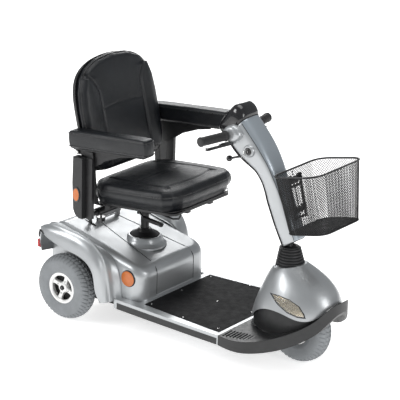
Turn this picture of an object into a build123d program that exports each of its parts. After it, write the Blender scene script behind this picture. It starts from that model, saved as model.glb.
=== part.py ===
from build123d import *
from math import cos, radians, sin, tan
import os

# Three-wheeled mobility scooter. Millimetres, +X forward, +Y to the rider's left, +Z up.
# The origin is on the floor under the middle of the machine.

# ---------------------------------------------------------------- driving dimensions
LENGTH = 1230.0
OVERALL_WIDTH = 590.0
WHEEL_RADIUS = 130.0
TYRE_WIDTH = 84.0
WHEELBASE = 918.0
TYRE_REAR_GAP = 2.0
RIM_RADIUS = 62.0
RAKE = 14.0
TRAIL_OFFSET = 8.0
SKIN = 4.0
RUNNING_GAP = 0.05
MOVING_GAP = 0.5

REAR_AXLE_X = -LENGTH / 2 + WHEEL_RADIUS + TYRE_REAR_GAP
FRONT_AXLE_X = REAR_AXLE_X + WHEELBASE
WHEEL_Y = OVERALL_WIDTH / 2 - TYRE_WIDTH / 2
AXLE_Z = WHEEL_RADIUS

# floor
DECK_BOTTOM = 92.0
DECK_TOP = 130.0
DECK_REAR_X = -262.0
DECK_FRONT_X = 250.0
DECK_REAR_HALF = 238.0
DECK_FRONT_HALF = 262.0
MAT_THICKNESS = 6.0
MAT_REAR_X = -138.0
MAT_FRONT_X = 236.0
MAT_REAR_HALF = 206.0
MAT_FRONT_HALF = 236.0

# rear body
BODY_HALF = 200.0
BODY_FRONT_X = -152.0
BODY_REAR_X = -600.0
FENDER_RIDGE_R = 238.0
FENDER_LIP_R = 184.0
FENDER_OUTER_Y = 293.0
COVER_HALF = 114.0
SEAM = 1.5

# seat
POST_X = -306.0
POST_RADIUS = 16.0
SPIGOT_RADIUS = 12.0
SWIVEL_Z = 418.0
SEAT_TILT = 5.5
SEAT_X = -200.0
SEAT_Z = 494.0
SEAT_HALF = 211.0
SEAT_REAR_X = -390.0
SEAT_FRONT_X = -12.0
CUSHION_THICKNESS = 86.0
BACK_RECLINE = 14.5
BACK_X = -368.0
BACK_Z = 588.0
BACK_HALF = 213.0
BACK_HEIGHT = 437.0
BACK_THICKNESS = 48.0
BACK_SHELL_THICKNESS = 10.0
HINGE_X = -408.0
HINGE_Z = 606.0
ARM_OUTER_Y = 276.0
ARM_PAD_WIDTH = 57.0
ARM_PAD_HEIGHT = 66.0
ARM_PAD_LENGTH = 376.0
ARM_PIVOT_X = -438.0
ARM_PIVOT_Z = 684.0
ARM_BAR_X = -378.0
ARM_BAR_Z = 444.0
ARM_BAR_RADIUS = 10.0
PIN_RADIUS = 5.0

# steering and tiller
HEAD_LOW_Z = 290.0
HEAD_HIGH_Z = 345.0
STEM_RADIUS = 14.0
BELLOWS_Z = 368.0
TILT_X = 374.0
TILT_Z = 428.0
BAR_Z = 827.0
BAR_INNER_X = 130.0
BAR_INNER_Y = 70.0
BAR_OUTER_X = 104.0
BAR_OUTER_Y = 208.0
GRIP_RADIUS = 17.0
BAR_RADIUS = 11.0
HEAD_HALF = 60.0
COLUMN_HALF = 42.0

# basket
BASKET_TILT = 12.5
BASKET_X = 376.0
BASKET_Z = 742.0
BASKET_LENGTH = 202.0
BASKET_HALF = 156.0
BASKET_DEPTH = 222.0
BASKET_BOTTOM_HALF = 124.0
BASKET_BOTTOM_LENGTH = 172.0
BASKET_WALL = 3.0

os.makedirs("parts", exist_ok=True)


# ---------------------------------------------------------------- shared helpers
def steer_x(z):
    """X of the raked steering axis at height z."""
    return FRONT_AXLE_X + TRAIL_OFFSET - (z - AXLE_Z) * tan(radians(RAKE))


STEER_DIRECTION = (-sin(radians(RAKE)), 0, cos(radians(RAKE)))


def steer_plane(z):
    """Plane square to the steering axis, centred on it at height z."""
    return Plane(origin=(steer_x(z), 0, z), x_dir=(cos(radians(RAKE)), 0, sin(radians(RAKE))),
                 z_dir=STEER_DIRECTION)


def tilted_plane(x, z, degrees, y=0.0):
    """Plane facing up, raised towards the front by the angle."""
    turn = radians(degrees)
    return Plane(origin=(x, y, z), x_dir=(cos(turn), 0, sin(turn)), z_dir=(-sin(turn), 0, cos(turn)))


def side_view(points):
    """Face in the XZ plane through (x, z) corners."""
    with BuildSketch(Plane.XZ) as view:
        with BuildLine():
            Polyline(*points, close=True)
        make_face()
    return view.sketch


def front_view(points):
    """Face in the YZ plane through (y, z) corners of the +Y half, mirrored."""
    mirrored = [(-y, z) for y, z in reversed(points)]
    with BuildSketch(Plane.YZ) as view:
        with BuildLine():
            Polyline(*points, *mirrored, close=True)
        make_face()
    return view.sketch


def plan_view(points, z):
    """Face at height z through (x, y) corners of the +Y half, mirrored in X."""
    mirrored = [(x, -y) for x, y in reversed(points)]
    with BuildSketch(Plane.XY.offset(z)) as view:
        with BuildLine():
            Polyline(*points, *mirrored, close=True)
        make_face()
    return view.sketch


def save(part, node):
    """Label one sub-part and write its STEP file."""
    part.label = node
    export_step(part, f"parts/{node}.step")


SIDES = (("right", -1), ("left", 1))


# ---------------------------------------------------------------- wheels
def make_tyre(x, y, node):
    """Solid tyre with rounded shoulders, seated on the rim."""
    half = TYRE_WIDTH / 2
    with BuildPart() as tyre:
        with BuildSketch(Plane.XY.offset(0)):
            with BuildLine():
                Polyline((RIM_RADIUS - 6, -half + 12), (RIM_RADIUS - 6, half - 12))
                Polyline((RIM_RADIUS - 6, half - 12), (RIM_RADIUS + 6, half - 5))
                Spline((RIM_RADIUS + 6, half - 5), (RIM_RADIUS + 26, half), (WHEEL_RADIUS - 18, half - 7),
                       (WHEEL_RADIUS - 4, half - 22), (WHEEL_RADIUS, 0), (WHEEL_RADIUS - 4, 22 - half),
                       (WHEEL_RADIUS - 18, 7 - half), (RIM_RADIUS + 26, -half), (RIM_RADIUS + 6, 5 - half))
                Polyline((RIM_RADIUS + 6, 5 - half), (RIM_RADIUS - 6, 12 - half))
            make_face()
        revolve(axis=Axis.Y)
    save(Pos(x, y, AXLE_Z) * tyre.part, node)


SPOKE_POCKET_R = 38.0
HUB_RADIUS = 19.0
AXLE_RADIUS = 10.0
RIM_HALF = 30.0


def rim_blank(outward):
    """Rim barrel, dished four-spoke face and hub about the Y axis; outward is +1 or -1."""
    face_y = outward * (RIM_HALF - 12)
    with BuildPart() as rim:
        with BuildSketch(Plane.XY):
            with BuildLine():
                Polyline((RIM_RADIUS - 10, -RIM_HALF), (RIM_RADIUS - 6, -RIM_HALF), (RIM_RADIUS - 6, RIM_HALF),
                         (RIM_RADIUS - 10, RIM_HALF), close=True)
            make_face()
        revolve(axis=Axis.Y)
        with BuildSketch(Plane.XZ.offset(-face_y)):
            Circle(RIM_RADIUS - 9)
            with PolarLocations(0, 4, start_angle=45):
                with Locations((SPOKE_POCKET_R - 4, 0)):
                    SlotOverall(24, 20, rotation=90, mode=Mode.SUBTRACT)
        extrude(amount=5, both=True)
        with BuildSketch(Plane.XZ):
            Circle(HUB_RADIUS)
        extrude(amount=RIM_HALF - 4, both=True)
    return rim.part


def make_rear_rim(side, node):
    """Rear rim with its drive stub, which runs in the axle housing."""
    rim = rim_blank(side)
    with BuildPart() as wheel:
        add(rim)
        with BuildSketch(Plane.XZ.offset(side * (RIM_HALF - 5))):
            Circle(AXLE_RADIUS)
        extrude(amount=side * 55)
        with BuildSketch(Plane.XZ.offset(-side * (RIM_HALF - 5))):
            RegularPolygon(11, 6)
        extrude(amount=-side * 9)
    save(Pos(REAR_AXLE_X, side * WHEEL_Y, AXLE_Z) * wheel.part, node)


def make_front_rim():
    """Front rim bored for the fork's axle."""
    rim = rim_blank(-1)
    with BuildPart() as wheel:
        add(rim)
        with BuildSketch(Plane.XZ):
            Circle(AXLE_RADIUS + RUNNING_GAP)
        extrude(amount=TYRE_WIDTH, both=True, mode=Mode.SUBTRACT)
    save(Pos(FRONT_AXLE_X, 0, AXLE_Z) * wheel.part, "front_rim")


for side_name, side in SIDES:
    make_tyre(REAR_AXLE_X, side * WHEEL_Y, f"rear_{side_name}_tyre")
    make_rear_rim(side, f"rear_{side_name}_rim")
make_tyre(FRONT_AXLE_X, 0, "front_tyre")
make_front_rim()

# ---------------------------------------------------------------- main frame, axle and batteries
SPINE_BOTTOM = 52.0
SPINE_TOP = 84.0
SPINE_HALF = 45.0
TRAY_TOP = 90.0

NECK = [(262, 52), (280, 52), (286, 130), (300, 225), (345, 275), (388, 292), (382, 332), (330, 318),
        (280, 262), (272, 225), (262, 130)]
NECK_HALF = 17.0
HEAD_RADIUS = 21.0
HEAD_LENGTH = (HEAD_HIGH_Z - HEAD_LOW_Z) / cos(radians(RAKE))

with BuildPart() as main_frame:
    with BuildSketch(steer_plane(HEAD_LOW_Z)):
        Circle(HEAD_RADIUS)
    extrude(amount=HEAD_LENGTH)
    extrude(side_view(NECK), amount=NECK_HALF, both=True)
    with BuildSketch(steer_plane(HEAD_LOW_Z - 60)):
        Circle(HEAD_RADIUS + 1)
    extrude(amount=60 / cos(radians(RAKE)), mode=Mode.SUBTRACT)
    with BuildSketch(steer_plane(HEAD_LOW_Z - 60)):
        Circle(STEM_RADIUS + RUNNING_GAP)
    extrude(amount=HEAD_LENGTH + 200, mode=Mode.SUBTRACT)
    extrude(plan_view([(-525, SPINE_HALF), (262, SPINE_HALF)], SPINE_BOTTOM), amount=SPINE_TOP - SPINE_BOTTOM)
    extrude(plan_view([(-425, 192), (-175, 192)], SPINE_TOP), amount=TRAY_TOP - SPINE_TOP)
    extrude(plan_view([(-150, 180), (-110, 180)], SPINE_TOP), amount=DECK_BOTTOM - SPINE_TOP)
    extrude(plan_view([(180, 200), (220, 200)], SPINE_TOP), amount=DECK_BOTTOM - SPINE_TOP)
save(main_frame.part, "main_frame")

AXLE_HOUSING_R = 27.0
AXLE_HOUSING_END = WHEEL_Y - RIM_HALF - 4
with BuildPart() as transaxle:
    with BuildSketch(Plane.XZ.offset(-AXLE_HOUSING_END)):
        with Locations((REAR_AXLE_X, AXLE_Z)):
            Circle(AXLE_HOUSING_R)
    extrude(amount=2 * AXLE_HOUSING_END)
    with BuildSketch(Plane.XZ.offset(30)):
        with Locations((REAR_AXLE_X, AXLE_Z + 6)):
            Circle(50)
    extrude(amount=-70)
    with BuildSketch(Plane.XZ.offset(30)):
        with Locations((REAR_AXLE_X - 20, AXLE_Z + 70)):
            Circle(45)
    extrude(amount=130)
    with BuildSketch(Plane.XZ):
        with Locations((REAR_AXLE_X, AXLE_Z)):
            Circle(AXLE_RADIUS + RUNNING_GAP)
    extrude(amount=2 * WHEEL_Y, both=True, mode=Mode.SUBTRACT)
    with Locations((REAR_AXLE_X, 0, SPINE_TOP - 10)):
        Box(200, 140, 20, mode=Mode.SUBTRACT)
save(transaxle.part, "transaxle")

BATTERY_X = -400.0
with BuildPart() as batteries:
    for side_name, side in SIDES:
        with BuildSketch(Plane.XY.offset(TRAY_TOP)):
            with Locations((BATTERY_X + 90, side * 112)):
                RectangleRounded(180, 144, 8)
        extrude(amount=138)
        with BuildSketch(Plane.XY.offset(TRAY_TOP + 138)):
            with Locations((BATTERY_X + 40, side * 140), (BATTERY_X + 40, side * 84)):
                Rectangle(18, 14)
        extrude(amount=8)
save(batteries.part, "batteries")

SOCKET_RADIUS = 24.0
COLLAR_TOP = 318.0
COLLAR_RADIUS = 66.0
RING_RADIUS = 56.0
SOCKET_TOP = 344.0
with BuildPart() as seat_socket:
    with BuildSketch(Plane.XZ):
        with BuildLine():
            Polyline((POST_RADIUS + RUNNING_GAP, TRAY_TOP), (SOCKET_RADIUS + 12, TRAY_TOP),
                     (SOCKET_RADIUS + 12, TRAY_TOP + 6), (SOCKET_RADIUS, TRAY_TOP + 6),
                     (SOCKET_RADIUS, COLLAR_TOP), (RING_RADIUS, COLLAR_TOP), (RING_RADIUS, COLLAR_TOP + 4),
                     (SOCKET_RADIUS + 8, COLLAR_TOP + 15), (SOCKET_RADIUS, SOCKET_TOP),
                     (POST_RADIUS + RUNNING_GAP, SOCKET_TOP), close=True)
        make_face()
    revolve(axis=Axis.Z)
save(Pos(POST_X, 0, 0) * seat_socket.part, "seat_socket")

# ---------------------------------------------------------------- floor
EDGE_BOW = 10.0


def deck_outline(inset, rear, front, z):
    """Plan outline of the floor, bowing outwards towards the front."""
    mid = (rear + front) / 2
    half = (DECK_REAR_HALF + DECK_FRONT_HALF) / 2
    with BuildSketch(Plane.XY.offset(z)) as outline:
        with BuildLine():
            Line((rear, DECK_REAR_HALF - inset), (rear, inset - DECK_REAR_HALF))
            ThreePointArc((rear, inset - DECK_REAR_HALF), (mid, inset - half - EDGE_BOW + 8),
                          (front, inset - DECK_FRONT_HALF))
            Line((front, inset - DECK_FRONT_HALF), (front, DECK_FRONT_HALF - inset))
            ThreePointArc((front, DECK_FRONT_HALF - inset), (mid, half - inset + EDGE_BOW - 8),
                          (rear, DECK_REAR_HALF - inset))
        make_face()
    return outline.sketch


MAT_CORNERS = [(MAT_REAR_X, MAT_REAR_HALF), (MAT_FRONT_X - 60, MAT_FRONT_HALF - 4), (MAT_FRONT_X, MAT_FRONT_HALF)]
RAIL_WALL = 16.0
TRIM_DEPTH = 3.0
TRIM_BOTTOM = 92.0
TRIM_TOP = 118.0

TRIM_INSET = 15.0


def rail_strips():
    """Long insert strips sunk into both outer edges of the floor."""
    with BuildPart() as strips:
        extrude(deck_outline(0, DECK_REAR_X, DECK_FRONT_X, TRIM_BOTTOM)
                - deck_outline(TRIM_DEPTH, DECK_REAR_X, DECK_FRONT_X, TRIM_BOTTOM),
                amount=TRIM_TOP - TRIM_BOTTOM)
        extrude(plan_view([(DECK_REAR_X + TRIM_INSET, 400), (DECK_FRONT_X - 5, 400)], TRIM_BOTTOM),
                amount=TRIM_TOP - TRIM_BOTTOM, mode=Mode.INTERSECT)
    return strips.part


with BuildPart() as floor_pan:
    extrude(deck_outline(0, DECK_REAR_X, DECK_FRONT_X, DECK_BOTTOM), amount=DECK_TOP - DECK_BOTTOM)
    extrude(deck_outline(RAIL_WALL, BODY_FRONT_X, DECK_FRONT_X - RAIL_WALL, DECK_BOTTOM),
            amount=DECK_TOP - DECK_BOTTOM - MAT_THICKNESS - SKIN, mode=Mode.SUBTRACT)
    extrude(plan_view([(DECK_REAR_X - 5, 206), (BODY_FRONT_X - 12, 206)], DECK_BOTTOM),
            amount=DECK_TOP, mode=Mode.SUBTRACT)
    extrude(plan_view(MAT_CORNERS, DECK_TOP - MAT_THICKNESS), amount=20, mode=Mode.SUBTRACT)
    add(rail_strips(), mode=Mode.SUBTRACT)
save(floor_pan.part, "floor_pan")
save(rail_strips(), "rail_trims")

with BuildPart() as floor_mat:
    extrude(plan_view(MAT_CORNERS, DECK_TOP - MAT_THICKNESS), amount=MAT_THICKNESS + 1)
save(floor_mat.part, "floor_mat")

# ---------------------------------------------------------------- rear body
BODY_OUTSIDE = [(BODY_FRONT_X, DECK_TOP), (BODY_FRONT_X - 4, 234), (BODY_FRONT_X - 20, 260), (-330, 300),
                (-556, 356), (-586, 350), (BODY_REAR_X, 300), (BODY_REAR_X, 196), (-424, 190), (-420, DECK_TOP)]
BODY_INSIDE = [(BODY_FRONT_X - SKIN, 100), (BODY_FRONT_X - 8, 232), (BODY_FRONT_X - 22, 256), (-331, 296),
               (-556, 352), (-583, 347), (BODY_REAR_X + SKIN, 299), (BODY_REAR_X + SKIN, 100)]
COVER_REAR_X = -500.0
COVER_REAR_HALF = 50.0
COVER_BOTTOM_Z = 142.0
COLLAR_BOTTOM = 270.0


def rounded_body(profile, half, radius):
    """Side profile pulled out to both sides, its upper side edges rounded."""
    with BuildPart() as body:
        extrude(side_view(profile), amount=half, both=True)
        for group in (0, -1):
            rim = body.edges().group_by(Axis.Y)[group].filter_by(lambda edge: edge.center().Z > 225)
            fillet(rim, radius)
    return body.part


def body_shell():
    """Open-bottomed centre shell of the rear body."""
    with BuildPart() as shell:
        add(rounded_body(BODY_OUTSIDE, BODY_HALF, 24))
        add(rounded_body(BODY_INSIDE, BODY_HALF - SKIN, 20), mode=Mode.SUBTRACT)
    return shell.part


def cover_block(gap):
    """Wedge that holds the battery cover, wider towards the front."""
    with BuildPart() as block:
        extrude(plan_view([(COVER_REAR_X - gap, COVER_REAR_HALF + gap), (BODY_FRONT_X + 20, COVER_HALF + gap)],
                          COVER_BOTTOM_Z - gap), amount=300)
    return block.part


TAIL_RIDGE_Z = 350.0
TAIL_SQUASH = 0.444


def tail_section(corners, side, x, ridge, ridge_z, squash):
    """Mudguard cross-section standing at x, its height below the ridge scaled by squash."""
    with BuildSketch(Plane.YZ.offset(x)) as section:
        with BuildLine():
            Polyline(*[(side * y, ridge_z - squash * (ridge - r)) for r, y in corners], close=True)
        make_face()
    return section.sketch


def fender(side):
    """Arched mudguard band over one rear wheel, with its closing panel at the tail."""
    ridge = FENDER_RIDGE_R
    lip = FENDER_LIP_R
    outer = FENDER_OUTER_Y
    corners = [(ridge - 29, BODY_HALF - 34), (ridge, outer - 55), (ridge - 2, outer - 43), (ridge - 12, outer - 27),
               (lip + 16, outer - 7), (lip + 4, outer), (lip - 3, outer), (lip - 3, outer - 6), (lip + 12, outer - 12),
               (ridge - 17, outer - 31), (ridge - 8, outer - 46), (ridge - 7, outer - 55), (ridge - 36, BODY_HALF - 34)]
    with BuildPart() as band:
        with BuildSketch(Plane.XY):
            with BuildLine():
                Polyline(*[(r, side * y) for r, y in corners], close=True)
            make_face()
        revolve(axis=Axis((0, 0, 0), (0, -1, 0)), revolution_arc=90)
    with BuildPart() as straight:
        loft([tail_section(corners, side, REAR_AXLE_X, ridge, AXLE_Z + ridge, 1),
              tail_section(corners, side, BODY_REAR_X, ridge, TAIL_RIDGE_Z, TAIL_SQUASH)], ruled=True)
    with BuildPart() as trimmed:
        add(Pos(REAR_AXLE_X, 0, AXLE_Z) * band.part)
        add(straight.part)
        add(rounded_body(BODY_INSIDE, BODY_HALF - SKIN, 20), mode=Mode.SUBTRACT)
    panel = [(BODY_HALF - 32, 262), (outer - 8, 262), (outer - 3, 317), (outer - 9, 324), (outer - 29, 343),
             (outer - 45, 347), (outer - 55, 348), (BODY_HALF - 32, 336)]
    with BuildPart() as tail:
        with BuildSketch(Plane.YZ.offset(BODY_REAR_X)):
            with BuildLine():
                Polyline(*[(side * y, z) for y, z in panel], close=True)
            make_face()
        extrude(amount=6)
    return trimmed.part, tail.part


FREEWHEEL_X = -500.0
FREEWHEEL_Y = -96.0
SLOT_LENGTH = 56.0
SLOT_WIDTH = 12.0

with BuildPart() as rear_shroud:
    add(body_shell())
    add(cover_block(SEAM), mode=Mode.SUBTRACT)
    for side_name, side in SIDES:
        for piece in fender(side):
            add(piece)
    with BuildSketch(Plane.XY.offset(300)):
        with Locations((FREEWHEEL_X, FREEWHEEL_Y)):
            SlotOverall(SLOT_LENGTH, SLOT_WIDTH)
    extrude(amount=80, mode=Mode.SUBTRACT)
save(rear_shroud.part, "rear_shroud")

with BuildPart() as battery_cover:
    add(body_shell())
    add(cover_block(0), mode=Mode.INTERSECT)
    with BuildSketch(Plane.XY.offset(COLLAR_BOTTOM)):
        with Locations((POST_X, 0)):
            Circle(COLLAR_RADIUS)
    extrude(amount=COLLAR_TOP - COLLAR_BOTTOM)
    with BuildSketch(Plane.XY.offset(200)):
        with Locations((POST_X, 0)):
            Circle(RING_RADIUS - 6)
    extrude(amount=200, mode=Mode.SUBTRACT)
    chamfer(battery_cover.edges().group_by(Axis.Z)[-1].sort_by(Edge.length)[-1], 4)
save(battery_cover.part, "battery_cover")

HANDLE_X = -490.0
HANDLE_Z = 362.0
HANDLE_HALF = 66.0
with BuildPart() as carry_handle:
    with BuildSketch(Plane.XZ.offset(-HANDLE_HALF)):
        with Locations((HANDLE_X, HANDLE_Z)):
            Circle(10)
    extrude(amount=2 * HANDLE_HALF)
    for y in (-HANDLE_HALF + 9, HANDLE_HALF - 9):
        with Locations((HANDLE_X, y, HANDLE_Z - 12)):
            Box(14, 14, 22)
    extrude(side_view(BODY_OUTSIDE), amount=BODY_HALF, both=True, mode=Mode.SUBTRACT)
save(carry_handle.part, "carry_handle")

REFLECTOR_X = -222.0
REFLECTOR_Z = 212.0
with BuildPart() as side_reflectors:
    for side_name, side in SIDES:
        with BuildSketch(Plane.XZ.offset(-side * BODY_HALF)):
            with Locations((REFLECTOR_X, REFLECTOR_Z)):
                Circle(30)
        extrude(amount=-side * 7)
save(side_reflectors.part, "side_reflectors")

with BuildPart() as tail_lights:
    for side_name, side in SIDES:
        with BuildSketch(Plane.YZ.offset(BODY_REAR_X)):
            with Locations((side * (FENDER_OUTER_Y - 42), 283)):
                RectangleRounded(62, 34, 8)
        extrude(amount=-10)
save(tail_lights.part, "tail_lights")

BUMPER_DEPTH = 15.0
with BuildPart() as rear_bumper:
    with BuildSketch(Plane.YZ.offset(-LENGTH / 2)):
        with Locations((0, 317)):
            RectangleRounded(2 * (FENDER_OUTER_Y - 18), 26, 8)
    extrude(amount=BUMPER_DEPTH)
    chamfer(rear_bumper.faces().sort_by(Axis.X)[0].edges(), 4)
save(rear_bumper.part, "rear_bumper")

# ---------------------------------------------------------------- front bumper and shroud
NOSE_X = LENGTH / 2
BUMPER_PLAN = [(300, 267), (345, 263), (395, 240), (443, 205), (500, 162), (550, 120), (590, 76), (611, 36)]
BUMPER_TOP = [(DECK_FRONT_X, 130), (330, 131), (400, 139), (470, 160), (530, 192), (575, 232), (600, 266), (NOSE_X, 280)]
BUMPER_LOW = [(DECK_FRONT_X, 92), (330, 88), (400, 92), (470, 108), (530, 138), (575, 175), (600, 212), (NOSE_X, 238)]
SHROUD_SECTIONS = [(DECK_TOP + 1, 418, 182, 138), (240, 429, 168, 128), (300, 428, 143, 106), (342, 413, 108, 82)]
SHROUD_TOP_RADIUS = 60.0
ARCH = [(200, 100), (226, 131), (257, 150), (300, 190), (345, 217), (390, 227), (450, 223), (520, 211),
        (558, 223), (582, 252), (602, 284), (640, 300)]
INFILL_INSET = 9.0
INFILL_TOP = 236.0


def bumper_outline(inset):
    """Plan outline of the front bumper, narrowing to the nose."""
    start = (DECK_FRONT_X, DECK_FRONT_HALF - inset)
    upper = [(x - inset, y - inset) for x, y in BUMPER_PLAN]
    lower = [(x, -y) for x, y in reversed(upper)]
    with BuildSketch(Plane.XY) as outline:
        with BuildLine():
            Spline(start, *upper, (NOSE_X - inset, 0), *lower, (start[0], -start[1]))
            Line((start[0], -start[1]), start)
        make_face()
    return outline.sketch


def bumper_band(top, bottom):
    """Wavy band between two side curves, across the whole width."""
    with BuildSketch(Plane.XZ) as band:
        with BuildLine():
            Spline(*top)
            Line(top[-1], bottom[-1])
            Spline(*reversed(bottom))
            Line(bottom[0], top[0])
        make_face()
    return band.sketch


def shroud_base(inset):
    """Plan ellipse at the foot of the front shroud."""
    low_z, centre, half_length, half_width = SHROUD_SECTIONS[0]
    with BuildSketch(Plane.XY) as base:
        with Locations((centre, 0)):
            Ellipse(half_length - inset, half_width - inset)
    return base.sketch


with BuildPart() as bumper_wall:
    extrude(bumper_outline(0) - bumper_outline(8), amount=400)
    extrude(bumper_band(BUMPER_TOP, BUMPER_LOW), amount=300, both=True, mode=Mode.INTERSECT)

with BuildPart() as front_bumper:
    extrude(bumper_outline(0) - shroud_base(INFILL_INSET - 5), amount=400)
    extrude(bumper_band(BUMPER_TOP, [(x, z - 6) for x, z in BUMPER_TOP]), amount=300, both=True,
            mode=Mode.INTERSECT)
    add(bumper_wall.part)
save(front_bumper.part, "front_bumper")


def shroud_solid(inset):
    """Dome lofted through plan ellipses up to the round seat of the bellows."""
    with BuildPart() as dome:
        for z, centre, half_length, half_width in SHROUD_SECTIONS:
            with BuildSketch(Plane.XY.offset(z)):
                with Locations((centre, 0)):
                    Ellipse(half_length - inset, half_width - inset)
        with BuildSketch(steer_plane(BELLOWS_Z - inset)):
            Circle(SHROUD_TOP_RADIUS - inset)
        loft()
    return dome.part


def shroud_shell():
    """Dome hollowed and arched out at the bottom."""
    with BuildPart() as shell:
        add(shroud_solid(0))
        add(shroud_solid(SKIN), mode=Mode.SUBTRACT)
        with BuildSketch(steer_plane(BELLOWS_Z - 20)):
            Circle(SHROUD_TOP_RADIUS - 22)
        extrude(amount=40, mode=Mode.SUBTRACT)
        with BuildSketch(Plane.XZ):
            with BuildLine():
                Spline(*ARCH)
                Polyline(ARCH[-1], (640, 60), (200, 60), ARCH[0])
            make_face()
        extrude(amount=300, both=True, mode=Mode.SUBTRACT)
    return shell.part


EYE = [(-76, 4), (-40, 17), (0, 24), (40, 20), (66, 4), (76, -8), (50, -17), (10, -20), (-36, -12)]


def eye_prism(side, scale_up):
    """Prism through the dome with the outline of one headlight."""
    facing = Plane(origin=(478, side * 190, 268), x_dir=(0.91, -side * 0.264, -0.317),
                   z_dir=(0.35, side * 0.93, 0.15))
    with BuildSketch(facing) as eye:
        with BuildLine():
            Polyline(*[(x * scale_up, side * -y * scale_up) for x, y in EYE], close=True)
        make_face()
    with BuildPart() as prism:
        extrude(eye.sketch, amount=-170)
    return prism.part


BEZEL_SCALE = 1.1
with BuildPart() as front_shroud:
    add(shroud_shell())
    for side_name, side in SIDES:
        add(eye_prism(side, BEZEL_SCALE), mode=Mode.SUBTRACT)
save(front_shroud.part, "front_shroud")


def eye_patch(side, scale_up):
    """Patch of the dome's skin inside one headlight outline."""
    with BuildPart() as patch:
        add(shroud_shell())
        add(eye_prism(side, scale_up), mode=Mode.INTERSECT)
    return patch.part


with BuildPart() as headlight_lenses:
    for side_name, side in SIDES:
        add(eye_patch(side, 1.0))
save(headlight_lenses.part, "headlight_lenses")

with BuildPart() as headlight_bezels:
    for side_name, side in SIDES:
        add(eye_patch(side, BEZEL_SCALE))
        add(eye_prism(side, 1.0), mode=Mode.SUBTRACT)
save(headlight_bezels.part, "headlight_bezels")

with BuildPart() as shroud_infill:
    add(shroud_solid(INFILL_INSET))
    add(shroud_solid(INFILL_INSET + SKIN), mode=Mode.SUBTRACT)
    with BuildSketch(Plane.XZ):
        with BuildLine():
            Spline(*[(x, z - 14) for x, z in BUMPER_TOP])
            Polyline((NOSE_X, 266), (NOSE_X, 0), (DECK_FRONT_X - 40, 0), (DECK_FRONT_X - 40, 116),
                     (DECK_FRONT_X, 116))
        make_face()
    extrude(amount=300, both=True, mode=Mode.SUBTRACT)
    extrude(plan_view([(DECK_FRONT_X + 0.5, 300), (600, 300)], 0), amount=INFILL_TOP, mode=Mode.INTERSECT)
save(shroud_infill.part, "shroud_infill")

# ---------------------------------------------------------------- steering
FORK_INNER_Y = 47.0
FORK_LEG_WIDTH = 10.0
CROWN_Z = 268.0
FORK_LEG = [(FRONT_AXLE_X - 17, 112), (FRONT_AXLE_X + 17, 112), (FRONT_AXLE_X + 14, 180), (430, 284), (384, 272),
            (FRONT_AXLE_X - 28, 180)]
CHEEK_INNER_Y = 17.0
CHEEK_WIDTH = 6.0
PIVOT_PIN_RADIUS = 6.0
STEM_TOP_Z = 398.0

with BuildPart() as fork:
    with BuildSketch(steer_plane(CROWN_Z)):
        RectangleRounded(48, 2 * (FORK_INNER_Y + FORK_LEG_WIDTH), 8)
    extrude(amount=14)
    with BuildSketch(steer_plane(CROWN_Z)):
        Circle(STEM_RADIUS)
    extrude(amount=(STEM_TOP_Z - CROWN_Z) / cos(radians(RAKE)))
    for side_name, side in SIDES:
        extrude(side_view(FORK_LEG).moved(Location((0, side * (FORK_INNER_Y + FORK_LEG_WIDTH / 2), 0))),
                amount=FORK_LEG_WIDTH / 2, both=True)
    with BuildSketch(Plane.XZ):
        with Locations((FRONT_AXLE_X, AXLE_Z)):
            Circle(AXLE_RADIUS)
    extrude(amount=FORK_INNER_Y + FORK_LEG_WIDTH + 6, both=True)
    with BuildSketch(steer_plane(STEM_TOP_Z - 12)):
        Rectangle(2 * STEM_RADIUS, 2 * (CHEEK_INNER_Y + CHEEK_WIDTH))
    extrude(amount=10)
    for side_name, side in SIDES:
        cheek_y = side * (CHEEK_INNER_Y + CHEEK_WIDTH / 2)
        with BuildSketch(Plane.XZ.offset(-cheek_y)):
            with Locations((TILT_X, TILT_Z)):
                Circle(12)
            with BuildLine():
                Polyline((steer_x(STEM_TOP_Z) - 12, STEM_TOP_Z - 10), (steer_x(STEM_TOP_Z) + 14, STEM_TOP_Z - 6),
                         (TILT_X + 11, TILT_Z), (TILT_X - 11, TILT_Z), close=True)
            make_face()
        extrude(amount=CHEEK_WIDTH / 2, both=True)
    with BuildSketch(Plane.XZ):
        with Locations((TILT_X, TILT_Z)):
            Circle(PIVOT_PIN_RADIUS + RUNNING_GAP)
    extrude(amount=60, both=True, mode=Mode.SUBTRACT)
save(fork.part, "fork")

BELLOWS_BASE_R = 53.0
BELLOWS_TOP_R = 33.0
BELLOWS_PLEATS = 6
BELLOWS_HEIGHT = 50.0
BELLOWS_FLANGE = 5.0
with BuildPart() as bellows_blank:
    pitch = (BELLOWS_HEIGHT - BELLOWS_FLANGE) / BELLOWS_PLEATS
    taper = (BELLOWS_BASE_R - BELLOWS_TOP_R) / BELLOWS_PLEATS
    wall = [(BELLOWS_BASE_R, 0), (BELLOWS_BASE_R, BELLOWS_FLANGE)]
    for pleat in range(BELLOWS_PLEATS):
        base = BELLOWS_FLANGE + pleat * pitch
        radius = BELLOWS_BASE_R - pleat * taper
        wall.append((radius - 5, base + pitch * 0.25))
        wall.append((radius - taper * 0.7, base + pitch * 0.75))
    inner = [(r - 3, h) for r, h in reversed(wall)]
    with BuildSketch(Plane.XZ):
        with BuildLine():
            Polyline(*wall, *inner, close=True)
        make_face()
    revolve(axis=Axis.Z)
save(steer_plane(BELLOWS_Z + MOVING_GAP).location * bellows_blank.part, "bellows")

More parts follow.
